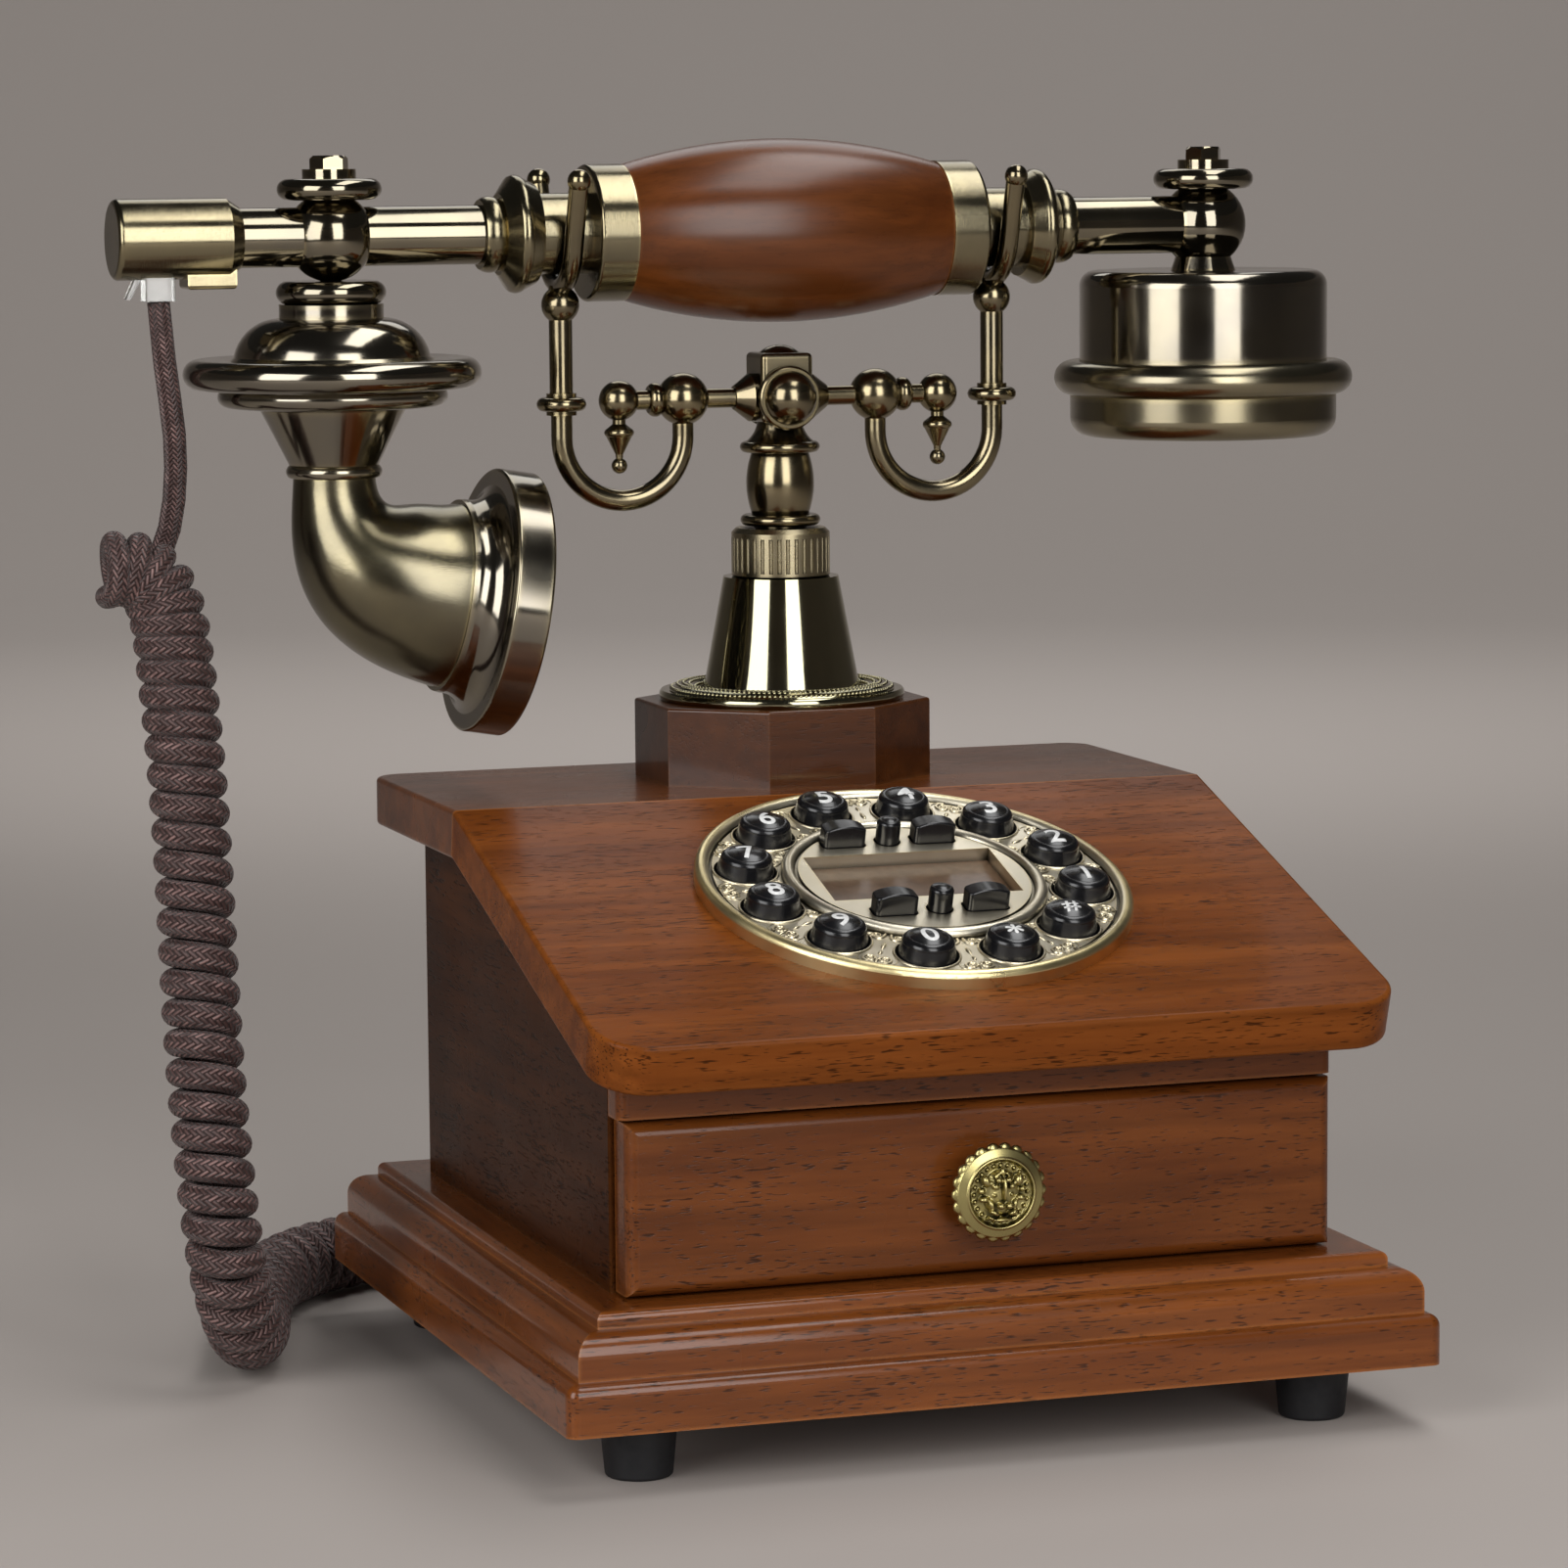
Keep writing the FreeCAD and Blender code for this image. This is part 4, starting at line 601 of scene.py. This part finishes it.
# %% [markdown]
# ## Tools for the finishes
# Every finish is a small tree of nodes. Two helpers keep the trees short: one starts a material and
# hands back its shader, the other adds a node, sets its options and joins its sockets.

# %% Helpers for node trees
def new_finish(name):
    finish = bpy.data.materials.new(name)
    finish.use_nodes = True
    return finish, finish.node_tree.nodes["Principled BSDF"]


def add(finish, kind, sockets=None, **options):
    """Add a node. A socket takes a value, or the output that it is joined to."""
    node = finish.node_tree.nodes.new("ShaderNode" + kind)
    for option, value in options.items():
        setattr(node, option, value)
    for key, value in (sockets or {}).items():
        join(finish, value, node.inputs[key])
    return node


def join(finish, value, socket):
    if isinstance(value, bpy.types.NodeSocket):
        finish.node_tree.links.new(value, socket)
    else:
        socket.default_value = value


def maths(finish, operation, first, second=0.0):
    return add(finish, "Math", {0: first, 1: second}, operation=operation).outputs[0]


def ramp(finish, factor, stops):
    """A colour ramp through (position, colour) stops, with grey levels given as one number."""
    node = add(finish, "ValToRGB", {"Fac": factor})
    elements = node.color_ramp.elements
    while len(elements) < len(stops):
        elements.new(0.5)
    for element, (position, colour) in zip(elements, stops):
        element.position = position
        element.color = (colour,) * 3 + (1,) if isinstance(colour, float) else (*colour, 1)
    return node.outputs["Color"]


def blend_colours(finish, factor, first, second, way="MIX"):
    node = add(finish, "Mix", data_type="RGBA", blend_type=way)
    join(finish, factor, node.inputs["Factor"])
    sockets = [s for s in node.inputs if s.type == "RGBA"]
    for socket, value in zip(sockets, (first, second)):
        join(finish, (*value, 1) if isinstance(value, tuple) else value, socket)
    return [s for s in node.outputs if s.type == "RGBA"][0]


print("helpers for node trees ready")


# %% Helpers for patterns
def object_places(finish, scale=(1, 1, 1)):
    spot = add(finish, "TexCoord")
    sizes = add(finish, "Mapping", {"Vector": spot.outputs["Object"], "Scale": scale})
    return sizes.outputs["Vector"]


def noise(finish, vector, scale, detail=3.0, roughness=0.5, distortion=0.0):
    node = add(finish, "TexNoise", {
        "Vector": vector, "Scale": scale, "Detail": detail,
        "Roughness": roughness, "Distortion": distortion})
    return node.outputs["Fac"]


def bump(finish, shader, height, distance, strength=1.0):
    node = add(finish, "Bump", {"Height": height, "Distance": distance, "Strength": strength})
    finish.node_tree.links.new(node.outputs["Normal"], shader.inputs["Normal"])


def wear(finish, radius, low=0.02, high=0.2):
    """White along the edges of a piece: where a rounded normal leaves the real one."""
    round_normal = add(finish, "Bevel", {"Radius": radius}, samples=4)
    true_normal = add(finish, "NewGeometry")
    meet = add(finish, "VectorMath", {
        0: round_normal.outputs["Normal"], 1: true_normal.outputs["Normal"]}, operation="DOT_PRODUCT")
    return ramp(finish, maths(finish, "SUBTRACT", 1.0, meet.outputs["Value"]), [(low, 0.0), (high, 1.0)])


def dress(finish, *names):
    """Give a finish to the solids of these names."""
    for name in names:
        slots = solids[name].data.materials
        slots.clear()
        slots.append(finish)


print("helpers for patterns ready")

# %% [markdown]
# ## The braid's finish
# The sleeve is dark brown rayon. Counted along the two slants, each yarn goes over two yarns of the other
# set and then under two. That gives rows of short strokes that lean left and right in turn, like ears of
# wheat. One set is a paler yarn, and the relief lifts each yarn in its middle. The colour also holds
# painted light: painted shade sinks it to near black down in the gaps between the yarns, and a painted
# highlight lays the pale colour on the crest of each yarn, mostly on the pale set.

# %% The braid
yarns = 14.0


def braid_finish():
    finish, shader = new_finish("cord_braid")
    uv = add(finish, "UVMap", uv_map="braid")
    count = add(finish, "SeparateXYZ", {"Vector": uv.outputs["UV"]})
    around = maths(finish, "MULTIPLY", count.outputs["X"], yarns)
    slants = [maths(finish, way, around, count.outputs["Y"]) for way in ("ADD", "SUBTRACT")]
    number = maths(finish, "ADD", *[maths(finish, "FLOOR", slant) for slant in slants])
    pale_on_top = maths(finish, "LESS_THAN", maths(finish, "FLOORED_MODULO", number, 4.0), 2.0)
    waves = [maths(finish, "SINE", maths(finish, "MULTIPLY", slant, math.pi)) for slant in slants]
    pale_yarn, dark_yarn = [maths(finish, "ABSOLUTE", wave) for wave in waves]
    difference = maths(finish, "SUBTRACT", pale_yarn, dark_yarn)
    relief = maths(finish, "ADD", dark_yarn, maths(finish, "MULTIPLY", pale_on_top, difference))
    # Painted shade: the colour sinks to near black where the relief falls away between the yarns.
    ground = ramp(finish, relief, [(0.0, (0.01, 0.0055, 0.005)), (0.6, (0.057, 0.028, 0.025))])
    # Painted highlight: the pale colour goes on the crest of each yarn. On the pale set it is partly the
    # yarn's own paler colour, and on the dark set it is sheen only.
    share = maths(finish, "ADD", maths(finish, "MULTIPLY", pale_on_top, 0.65), 0.35)
    crest_sheen_and_pale_yarn = maths(finish, "MULTIPLY", share, maths(finish, "POWER", relief, 2.0))
    patches = noise(finish, object_places(finish), 330.0, detail=2.0)
    uneven = ramp(finish, patches, [(0.35, 0.15), (0.68, 1.0)])
    pale_yarn_and_painted_sheen = ramp(finish, maths(finish, "MULTIPLY", crest_sheen_and_pale_yarn, uneven), [(0.1, 0.0), (0.9, 1.0)])
    colour = blend_colours(finish, pale_yarn_and_painted_sheen, ground, (0.25, 0.146, 0.134))
    finish.node_tree.links.new(colour, shader.inputs["Base Color"])
    shader.inputs["Roughness"].default_value = 0.5
    shader.inputs["Sheen Weight"].default_value = 0.1
    shader.inputs["Sheen Roughness"].default_value = 0.4
    bump(finish, shader, relief, 0.0004)
    return finish


curly_cord.data.materials.append(braid_finish())
print("finish:", curly_cord.data.materials[0].name)

# %% [markdown]
# ## Lacquered mahogany
# The case is stained red-brown and lacquered. Mahogany has a broad, soft figure and short dark pores
# that run with the grain. Noise that is stretched along the grain gives both: a low one for the
# figure and a high one, cut off sharply, for the pores. The stain is rubbed thin along the edges,
# where it shows orange, and a clear coat lies over it all. The mouldings are strips with mitred
# corners, so there the grain changes its direction on the diagonal. The drawer's tray is left raw.

# %% The grain's directions
def grain_places(finish, along, mitre=None):
    """Places with the first axis along the grain. A mitre is (half width, half depth) of a frame."""
    places = add(finish, "SeparateXYZ", {"Vector": add(finish, "TexCoord").outputs["Object"]})
    x, y, z = (places.outputs[axis] for axis in "XYZ")
    across = add(finish, "CombineXYZ", {"X": x, "Y": y, "Z": z}).outputs["Vector"]
    deep = add(finish, "CombineXYZ", {"X": y, "Y": x, "Z": z}).outputs["Vector"]
    if not mitre:
        return (across, deep)[along]
    from_middle = maths(finish, "ABSOLUTE", maths(finish, "SUBTRACT", x, base_middle.x))
    side = maths(finish, "DIVIDE", from_middle, mitre[0])
    end = maths(finish, "DIVIDE", maths(finish, "ABSOLUTE", y), mitre[1])
    strip = add(finish, "Mix", data_type="VECTOR")
    join(finish, maths(finish, "GREATER_THAN", side, end), strip.inputs["Factor"])
    sockets = [socket for socket in strip.inputs if socket.type == "VECTOR"]
    for socket, value in zip(sockets[-2:], (across, deep)):
        join(finish, value, socket)
    return [socket for socket in strip.outputs if socket.type == "VECTOR"][0]


def stretched(finish, places, along, across):
    """The same places with their own scale along the grain and across it."""
    sizes = add(finish, "Mapping", {"Vector": places, "Scale": (along, across, across)})
    return sizes.outputs["Vector"]


print("grain along X, along Y and round a mitred frame")

# %% Wood
red_stain = ((0.228, 0.065, 0.0115), (0.174, 0.047, 0.008), (0.122, 0.0305, 0.0055))
raw_wood = ((0.5, 0.34, 0.19), (0.4, 0.26, 0.135), (0.29, 0.18, 0.09))


def grained_wood(name, along=0, stain=red_stain, tone=1.0, pores=0.9, mitre=None, gloss=0.18, coat=0.1,
                 polish=0.1):
    """Wood with its grain along X (0) or Y (1). The tone lightens or darkens its three stain colours."""
    finish, shader = new_finish(name)
    places = grain_places(finish, along, mitre)
    figure = noise(finish, stretched(finish, places, 11, 90), 1.0, detail=4.0, roughness=0.55,
                   distortion=0.35)
    light, middle, dark = [tuple(tone * c for c in colour) for colour in stain]
    ground = ramp(finish, figure, [(0.28, dark), (0.5, middle), (0.72, light)])
    lines = noise(finish, stretched(finish, places, 14, 260), 1.0, detail=3.0, roughness=0.6)
    deep = tuple(0.32 * c for c in middle)
    lined = blend_colours(finish, ramp(finish, lines, [(0.38, 0.36), (0.6, 0.0)]), ground, deep)
    dashes = noise(finish, stretched(finish, places, 230, 1900), 1.0, detail=1.0)
    patch = noise(finish, stretched(finish, places, 26, 120), 1.0, detail=2.0)
    gather = maths(finish, "ADD", maths(finish, "MULTIPLY", patch, 0.5), 0.75)
    pore = ramp(finish, maths(finish, "MULTIPLY", dashes, gather), [(0.61, 0.0), (0.7, pores)])
    pored = blend_colours(finish, pore, lined, tuple(0.22 * c for c in middle))
    rubbed = wear(finish, 0.0016)
    worn = tuple(factor * c for factor, c in zip((2.0, 2.6, 3.9), light))
    colour = blend_colours(finish, maths(finish, "MULTIPLY", rubbed, 0.55), pored, worn)
    finish.node_tree.links.new(colour, shader.inputs["Base Color"])
    haze = noise(finish, object_places(finish), 30.0, detail=3.0)
    finish.node_tree.links.new(ramp(finish, haze, [(0.3, 0.24), (0.7, 0.33)]), shader.inputs["Roughness"])
    shader.inputs["Coat Weight"].default_value = coat
    shader.inputs["Coat Roughness"].default_value = polish
    shader.inputs["Specular IOR Level"].default_value = gloss
    bump(finish, shader, maths(finish, "SUBTRACT", maths(finish, "MULTIPLY", lines, 0.25), pore), 0.00005)
    return finish


print("stain colours:", red_stain)

# %% Dress the wooden pieces
dress(grained_wood("mahogany_across", tone=0.82, coat=0.2),
      "back_panel", "divider_shelf", "top_board", "drawer_front")
dress(grained_wood("mahogany_slope", tone=1.05, gloss=0.05, coat=0.03), "slope_board")
dress(grained_wood("mahogany_strips", mitre=(0.11, 0.111), coat=0.5), "base_board", "base_moulding")
# Painted shade: the side panels take the same stain, darkened to about a third of the front boards' tone.
dress(grained_wood("mahogany_sides_painted_shade", along=1, tone=0.27, gloss=0.03, coat=0.0), "side_panels")
dress(grained_wood("mahogany_plinth", tone=0.36, pores=0.4, coat=0.4), "post_plinth")
dress(grained_wood("mahogany_grip", tone=0.62, pores=0.2, gloss=0.03, coat=0.7, polish=0.25),
      "handset_grip")
dress(grained_wood("drawer_wood", stain=raw_wood, pores=0.35, gloss=0.1, coat=0.0), "drawer_tray")
print("wood on", sum("mahogany" in o.data.materials[0].name for o in solids.values()), "solids")

# %% [markdown]
# ## Antique brass
# The fittings are plated brass that has been blackened and then polished, so the hollows are nearly
# black and the high places show olive gold. The handset's tubes, balls and shells are polished like a
# mirror, the cradle and the receiver's cap are satin, and the horn, the sleeves and the dial are
# brushed. Ambient occlusion finds the hollows, a rounded normal finds the edges, and very fine noise,
# stretched along the brush strokes, brushes the rest.

# %% Metal
def antique_metal(name, colour, gold, roughness, brush=None, brush_depth=0.00002, edge=0.0012,
                  gold_share=0.7, hollow=0.0, hollow_tone=0.12, satin=0.0):
    """Blackened brass. The edges are rubbed to gold, and hollows within a reach in metres stay dark."""
    finish, shader = new_finish(name)
    cloud = noise(finish, object_places(finish), 45.0, detail=4.0)
    tarnish = blend_colours(finish, ramp(finish, cloud, [(0.35, 0.0), (0.75, 0.3)]), colour, gold)
    rubbed = wear(finish, edge, 0.015, 0.16)
    metal = blend_colours(finish, maths(finish, "MULTIPLY", rubbed, gold_share), tarnish, gold)
    if hollow:
        shelter = add(finish, "AmbientOcclusion", {"Distance": hollow}, samples=8)
        dark = ramp(finish, shelter.outputs["AO"], [(0.35, hollow_tone), (0.85, 1.0)])
        metal = blend_colours(finish, 1.0, metal, dark, way="MULTIPLY")
    finish.node_tree.links.new(metal, shader.inputs["Base Color"])
    shader.inputs["Metallic"].default_value = 1.0
    smear = noise(finish, object_places(finish), 70.0, detail=3.0)
    polish = ramp(finish, smear, [(0.3, roughness * 0.8), (0.7, roughness * 1.25)])
    if satin:
        polish = blend_colours(finish, rubbed, polish, (satin, satin, satin))
    finish.node_tree.links.new(polish, shader.inputs["Roughness"])
    if brush:
        scratch = noise(finish, object_places(finish, brush), 1.0, detail=2.0, roughness=0.7)
        bump(finish, shader, scratch, brush_depth)
    return finish


print("metals are mixed from a colour, its gold and a roughness")

# %% Mix the metals
round_x, round_z = (6000.0, 400.0, 400.0), (400.0, 400.0, 6000.0)
polished_bronze = antique_metal("polished_bronze", (0.19, 0.17, 0.132), (0.42, 0.35, 0.2), 0.1)
satin_bronze = antique_metal("satin_bronze", (0.18, 0.152, 0.1), (0.5, 0.4, 0.2), 0.18, gold_share=0.45,
                             hollow=0.004, hollow_tone=0.2, satin=0.24)
fluted_brass = antique_metal("fluted_brass", (0.36, 0.31, 0.2), (0.6, 0.51, 0.32), 0.24, edge=0.0004,
                             hollow=0.0012, hollow_tone=0.05)
dark_cone = antique_metal("dark_cone", (0.31, 0.29, 0.195), (0.46, 0.41, 0.24), 0.08)
polished_shell = antique_metal("polished_shell", (0.225, 0.204, 0.168), (0.42, 0.36, 0.22), 0.12,
                               edge=0.003, satin=0.26)
satin_shell = antique_metal("satin_shell", (0.22, 0.195, 0.14), (0.5, 0.42, 0.23), 0.22,
                            edge=0.003, satin=0.3)
brushed_horn = antique_metal("brushed_horn", (0.16, 0.142, 0.097), (0.4, 0.34, 0.18), 0.2, brush=round_z)
brushed_along = antique_metal("brushed_along", (0.2, 0.175, 0.115), (0.5, 0.41, 0.22), 0.17, brush=round_x)
dial_brass = antique_metal("dial_brass", (0.8, 0.74, 0.6), (0.88, 0.74, 0.44), 0.32, brush=round_x,
                           hollow=0.0026, hollow_tone=0.06)
cast_brass = antique_metal("cast_brass", (0.42, 0.36, 0.15), (0.75, 0.64, 0.3), 0.3, edge=0.0005,
                           hollow=0.0016, hollow_tone=0.3)
print("metals:", polished_bronze.name, "to", cast_brass.name)

# %% [markdown]
# ## The dial's golden rim
# The dial's plate is pale brass, and its rim is rubbed more, to a warmer gold. The distance from the
# middle of the dial tells the rim from the rest.

# %% Gild the rim
rim_reach = 52.5 * mm


def gild_rim(finish, middle, reach, gold):
    """Lay a golden tone over all that is further than the reach from the middle."""
    shader = finish.node_tree.nodes["Principled BSDF"]
    places = add(finish, "TexCoord").outputs["Object"]
    away = add(finish, "VectorMath", {0: places, 1: tuple(middle)}, operation="DISTANCE").outputs["Value"]
    rim = ramp(finish, maths(finish, "DIVIDE", away, reach), [(0.97, 0.0), (1.0, 1.0)])
    plain = shader.inputs["Base Color"].links[0].from_socket
    finish.node_tree.links.new(blend_colours(finish, rim, plain, gold), shader.inputs["Base Color"])


gild_rim(dial_brass, dial_frame.translation, rim_reach, (0.82, 0.69, 0.37))
print("gold from", rim_reach, "m outwards")

# %% Dress the metal pieces
dress(polished_bronze, "handset_tube", "ball_joints", "finial_nuts")
dress(satin_bronze, "cradle_column", "cradle_arms", "cap_nuts", "hook_left", "hook_right")
dress(fluted_brass, "fluted_collar")
dress(dark_cone, "post_cone")
dress(brushed_along, "ferrules", "cord_end_cap", "neck_collars")
dress(polished_shell, "mouthpiece_canopy", "mouthpiece_cup", "mouthpiece_bell", "receiver_shell")
dress(satin_shell, "receiver_cap")
dress(brushed_horn, "mouthpiece_elbow")
dress(dial_brass, "dial_plate")
for piece, metal in ((dial_scrolls, dial_brass), (key_collars, dial_brass), (lion_knob, cast_brass),
                     (flange_grains, dark_cone)):
    piece.data.materials.clear()
    piece.data.materials.append(metal)
print("dressed in metal:", dial_scrolls.name, key_collars.name, lion_knob.name, flange_grains.name)

# %% [markdown]
# ## Plastic, rubber and the hidden parts
# The keys and jacks are moulded plastic, the plugs are clear plastic, the display lies under smoked glass,
# the feet are rubber, and the spring and the switch are plain steel. A mould leaves a faint grain and
# hands leave smears, so no surface is quite even.

# %% Moulded finishes
def moulded(name, colour, roughness, grain=900.0, depth=0.00001, coat=0.0):
    """A surface with a faint grain in its colour and its height, and smears in its shine."""
    finish, shader = new_finish(name)
    pattern = noise(finish, object_places(finish), grain, detail=2.0)
    tone = blend_colours(finish, ramp(finish, pattern, [(0.3, 0.0), (0.7, 1.0)]),
                         tuple(c * 0.85 for c in colour), tuple(min(1.0, c * 1.15) for c in colour))
    finish.node_tree.links.new(tone, shader.inputs["Base Color"])
    smear = noise(finish, object_places(finish), 160.0, detail=3.0)
    finish.node_tree.links.new(
        ramp(finish, smear, [(0.3, roughness * 0.8), (0.7, min(1.0, roughness * 1.25))]),
        shader.inputs["Roughness"])
    shader.inputs["Coat Weight"].default_value = coat
    shader.inputs["Coat Roughness"].default_value = 0.06
    bump(finish, shader, pattern, depth)
    return finish


print("moulded surfaces are mixed from a colour and a roughness")

# %% Dress the moulded pieces
key_plastic = moulded("key_black", (0.005, 0.005, 0.006), 0.22, coat=0.05)
dress(key_plastic, *[name for name in solids if name.startswith("key_")])
dress(moulded("foot_rubber", (0.004, 0.004, 0.0055), 0.6, grain=500.0, depth=0.00006), "rubber_feet")
dress(moulded("jack_black", (0.02, 0.02, 0.02), 0.45), "rear_jacks", "handset_capsules")
dress(moulded("board_green", (0.03, 0.14, 0.06), 0.5), "circuit_board")
display_glass = moulded("display_glass", (0.11, 0.066, 0.04), 0.2, grain=300.0)
display_glass.node_tree.nodes["Principled BSDF"].inputs["Specular IOR Level"].default_value = 0.3
dress(display_glass, "display")
clear_plastic = moulded("plug_clear", (0.8, 0.8, 0.77), 0.08, grain=60.0)
clear_plastic.node_tree.nodes["Principled BSDF"].inputs["Transmission Weight"].default_value = 0.85
dress(clear_plastic, "handset_plug", "base_plug")
dress(moulded("plain_steel", (0.5, 0.5, 0.5), 0.35), "hook_spring", "hook_switch")
numeral_white = moulded("numeral_white", (0.72, 0.72, 0.71), 0.35)
for piece in numerals:
    piece.data.materials.clear()
    piece.data.materials.append(numeral_white)
print("undressed solids:", [name for name, solid in solids.items() if not solid.data.materials])

# %% [markdown]
# ## The studio
# The floor is a wide pale disc whose edge sweeps up into a round wall, so that there is no horizon.
# Polished metal shows what is round it. So soft panels stand left and right of the camera: each draws
# one bright upright band on the turned pieces, and the dim wall leaves the rest nearly black. A beam
# from above lights only the floor and wall behind the telephone.

# %% Floor and wall
sweep = [math.radians(6 * i) for i in range(16)]
sweep = [(2100 + 1600 * math.sin(a), 1600 - 1600 * math.cos(a)) for a in sweep]
floor = turn_on_lathe("studio_floor", [(0, 0)] + sweep, 96)
pick(floor)
bpy.ops.object.shade_smooth()
floor_finish, floor_shader = new_finish("studio_floor")
pale = noise(floor_finish, object_places(floor_finish), 0.8, detail=2.0)
floor_finish.node_tree.links.new(
    ramp(floor_finish, pale, [(0.3, (0.44, 0.395, 0.365)), (0.7, (0.46, 0.415, 0.385))]),
    floor_shader.inputs["Base Color"])
floor_shader.inputs["Roughness"].default_value = 0.7
floor_shader.inputs["Specular IOR Level"].default_value = 0.2
floor.data.materials.append(floor_finish)
print("floor faces:", len(floor.data.polygons))


# %% Soft panels
def soft_panel(name, place, aim, size, power):
    """A lamp of this width and height in metres, with its power in watts. The camera doesn't see it."""
    data = bpy.data.lights.new(name, "AREA")
    data.shape = "RECTANGLE"
    data.size, data.size_y = size
    data.energy = power
    panel = bpy.data.objects.new(name, data)
    panel.location = place
    panel.rotation_euler = (Vector(aim) - Vector(place)).to_track_quat("-Z", "Y").to_euler()
    panel.visible_camera = False
    bpy.context.scene.collection.objects.link(panel)


soft_panel("left_panel", (-1.34, -0.82, 0.72), (0, 0, 0.2), (0.95, 1.2), 17.5)
soft_panel("right_panel", (0.1, -1.55, 0.72), (0, 0, 0.2), (0.74, 1.2), 15.0)
soft_panel("top_panel", (0.35, -0.1, 1.4), (0, 0, 0.2), (1.3, 0.4), 8.0)
soft_panel("high_panel", (0.36, 1.1, 1.15), (0, 0, 0.15), (0.8, 0.7), 2.6)

print("soft panels: 4")

# %% The beam and the dim room
wall_beam = bpy.data.lights.new("wall_beam", "SPOT")
wall_beam.energy = 125.0
wall_beam.spot_size, wall_beam.spot_blend = math.radians(95), 1.0
wall_beam.shadow_soft_size = 0.25
beam = bpy.data.objects.new("wall_beam", wall_beam)
beam.location = (0.2, 0.6, 1.8)
beam.rotation_euler = (Vector((0.9, 2.6, 0)) - beam.location).to_track_quat("-Z", "Y").to_euler()
bpy.context.scene.collection.objects.link(beam)

world = bpy.data.worlds.new("studio")
bpy.context.scene.world = world
world.use_nodes = True
world.node_tree.nodes["Background"].inputs["Color"].default_value = (0.03, 0.029, 0.028, 1)
bpy.context.scene.view_settings.view_transform = "Standard"
print("studio ready")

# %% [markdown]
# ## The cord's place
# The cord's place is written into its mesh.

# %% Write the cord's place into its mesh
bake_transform(curly_cord)
